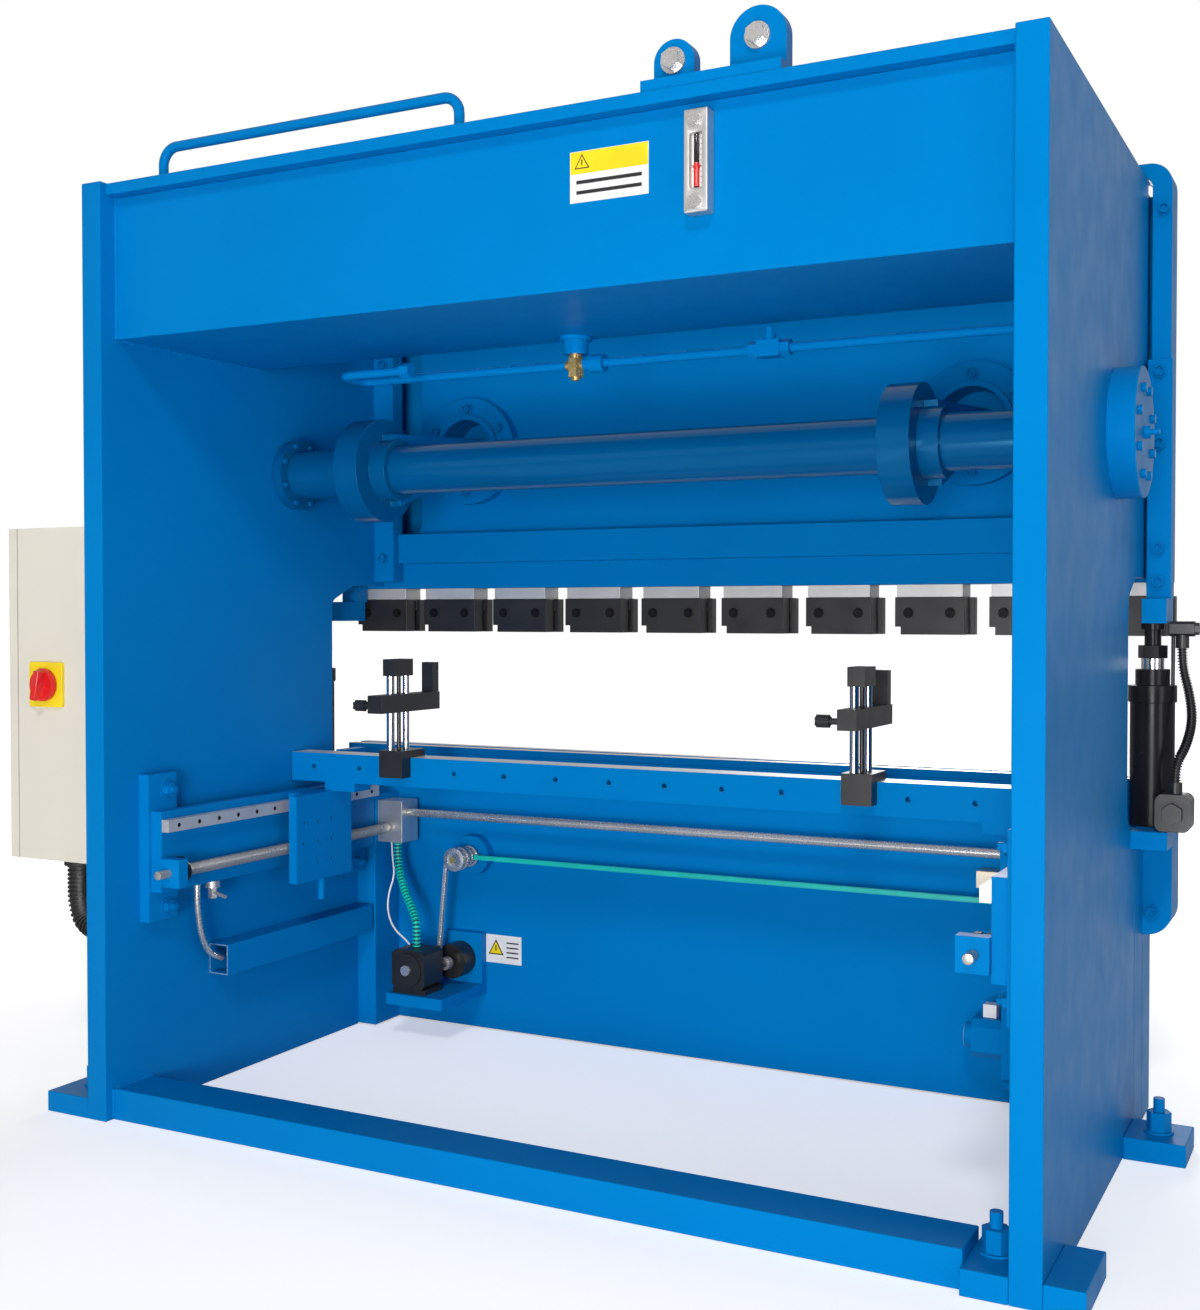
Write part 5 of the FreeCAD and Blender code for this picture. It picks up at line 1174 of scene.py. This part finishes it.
class PRESS_OT_stage(bpy.types.Operator):
    """Sets up the pale floor, the soft lights and the camera"""

    bl_idname = "press.stage"
    bl_label = "Stage"

    def execute(self, context):
        bpy.ops.object.select_all(action="DESELECT")
        bpy.ops.mesh.primitive_plane_add(size=60.0, location=(0, 0, -0.0005))
        MATERIALS["floor"] = self.floor_paint_and_glow()
        floor = paint(settle(bpy.context.object), "floor", "stage_floor")
        self.sky(context)
        target = Vector(LIGHT_TARGET)
        for name, place, size, power in LIGHTS:
            light = bpy.data.lights.new(name, "AREA")
            light.shape = "DISK"
            light.size = size
            light.energy = power
            lamp = bpy.data.objects.new(name, light)
            context.scene.collection.objects.link(lamp)
            lamp.location = place
            lamp.rotation_euler = (target - lamp.location).to_track_quat("-Z", "Y").to_euler()
        self.camera(context)
        context.scene.view_settings.view_transform = "Standard"
        return {"FINISHED"}

    def sky(self, context):
        """White all round for the camera, dimmer where it lights faces and reflections."""
        world = context.scene.world or bpy.data.worlds.new("studio")
        context.scene.world = world
        world.use_nodes = True
        nodes, links = world.node_tree.nodes, world.node_tree.links
        background = nodes["Background"]
        background.inputs["Color"].default_value = (1.0, 1.0, 1.0, 1.0)
        ray = nodes.new("ShaderNodeLightPath").outputs
        soft = between(nodes, links, ray["Is Diffuse Ray"], 1.0, SKY_DIFFUSE, 0.0, 1.0)
        shiny = between(nodes, links, ray["Is Glossy Ray"], 1.0, SKY_GLOSSY, 0.0, 1.0)
        links.new(times(nodes, links, soft, shiny), background.inputs["Strength"])

    def floor_paint_and_glow(self):
        """White paint with a painted glow, seen only by the camera, that brightens away from the
        machine, so that the floor meets the sky.
        """
        material, nodes, links, shader = new_material(
            "floor_paint_and_glow", (0.93, 0.93, 0.93), specular=0.0
        )
        shader.inputs["Roughness"].default_value = 0.7
        shader.inputs["Emission Color"].default_value = (1.0, 1.0, 1.0, 1.0)
        distance = nodes.new("ShaderNodeVectorMath")
        distance.operation = "LENGTH"
        links.new(place_of(nodes, links), distance.inputs[0])
        glow = between(nodes, links, distance.outputs["Value"], *FLOOR_GLOW, *FLOOR_FADE)
        # painted glow: emission only for camera rays, stronger with distance from the middle
        seen = nodes.new("ShaderNodeLightPath").outputs["Is Camera Ray"]
        links.new(times(nodes, links, glow, seen), shader.inputs["Emission Strength"])
        return material

    def camera(self, context):
        """The view from behind, to the right of the middle."""
        lens = bpy.data.cameras.new("camera")
        lens.lens = context.scene.press_finish.lens
        lens.shift_x, lens.shift_y = CAMERA_SHIFT
        lens.clip_end = 100.0
        view = bpy.data.objects.new("camera", lens)
        context.scene.collection.objects.link(view)
        view.location = mm(*CAMERA_PLACE)
        view.rotation_euler = (math.radians(90 - CAMERA_DOWN), 0.0, math.radians(CAMERA_TURN))
        context.scene.camera = view


# ---- add-on
class PRESS_PT_panel(bpy.types.Panel):
    """Lists the machine's sizes, colours and steps"""

    bl_idname = "PRESS_PT_panel"
    bl_label = "Press Brake"
    bl_space_type = "VIEW_3D"
    bl_region_type = "UI"
    bl_category = "Press Brake"

    def draw(self, context):
        look = context.scene.press_finish
        for name in PRESS_PG_finish.__annotations__:
            self.layout.prop(look, name)
        for step in STEPS:
            self.layout.operator(step.bl_idname)


STEPS = (
    PRESS_OT_finishes, PRESS_OT_stage, PRESS_OT_frame, PRESS_OT_ram, PRESS_OT_cabinet,
    PRESS_OT_hoses, PRESS_OT_back_gauge, PRESS_OT_drive, PRESS_OT_oil_gauge, PRESS_OT_signs,
    PRESS_OT_welds,
)
CLASSES = (PRESS_PG_finish, *STEPS, PRESS_PT_panel)


def register():
    for cls in CLASSES:
        bpy.utils.register_class(cls)
    bpy.types.Scene.press_finish = bpy.props.PointerProperty(type=PRESS_PG_finish)


def unregister():
    del bpy.types.Scene.press_finish
    for cls in reversed(CLASSES):
        bpy.utils.unregister_class(cls)


def main():
    register()
    for step in STEPS:
        group, name = step.bl_idname.split(".")
        getattr(getattr(bpy.ops, group), name)()
    bpy.context.view_layer.update()


if __name__ == "__main__":
    main()
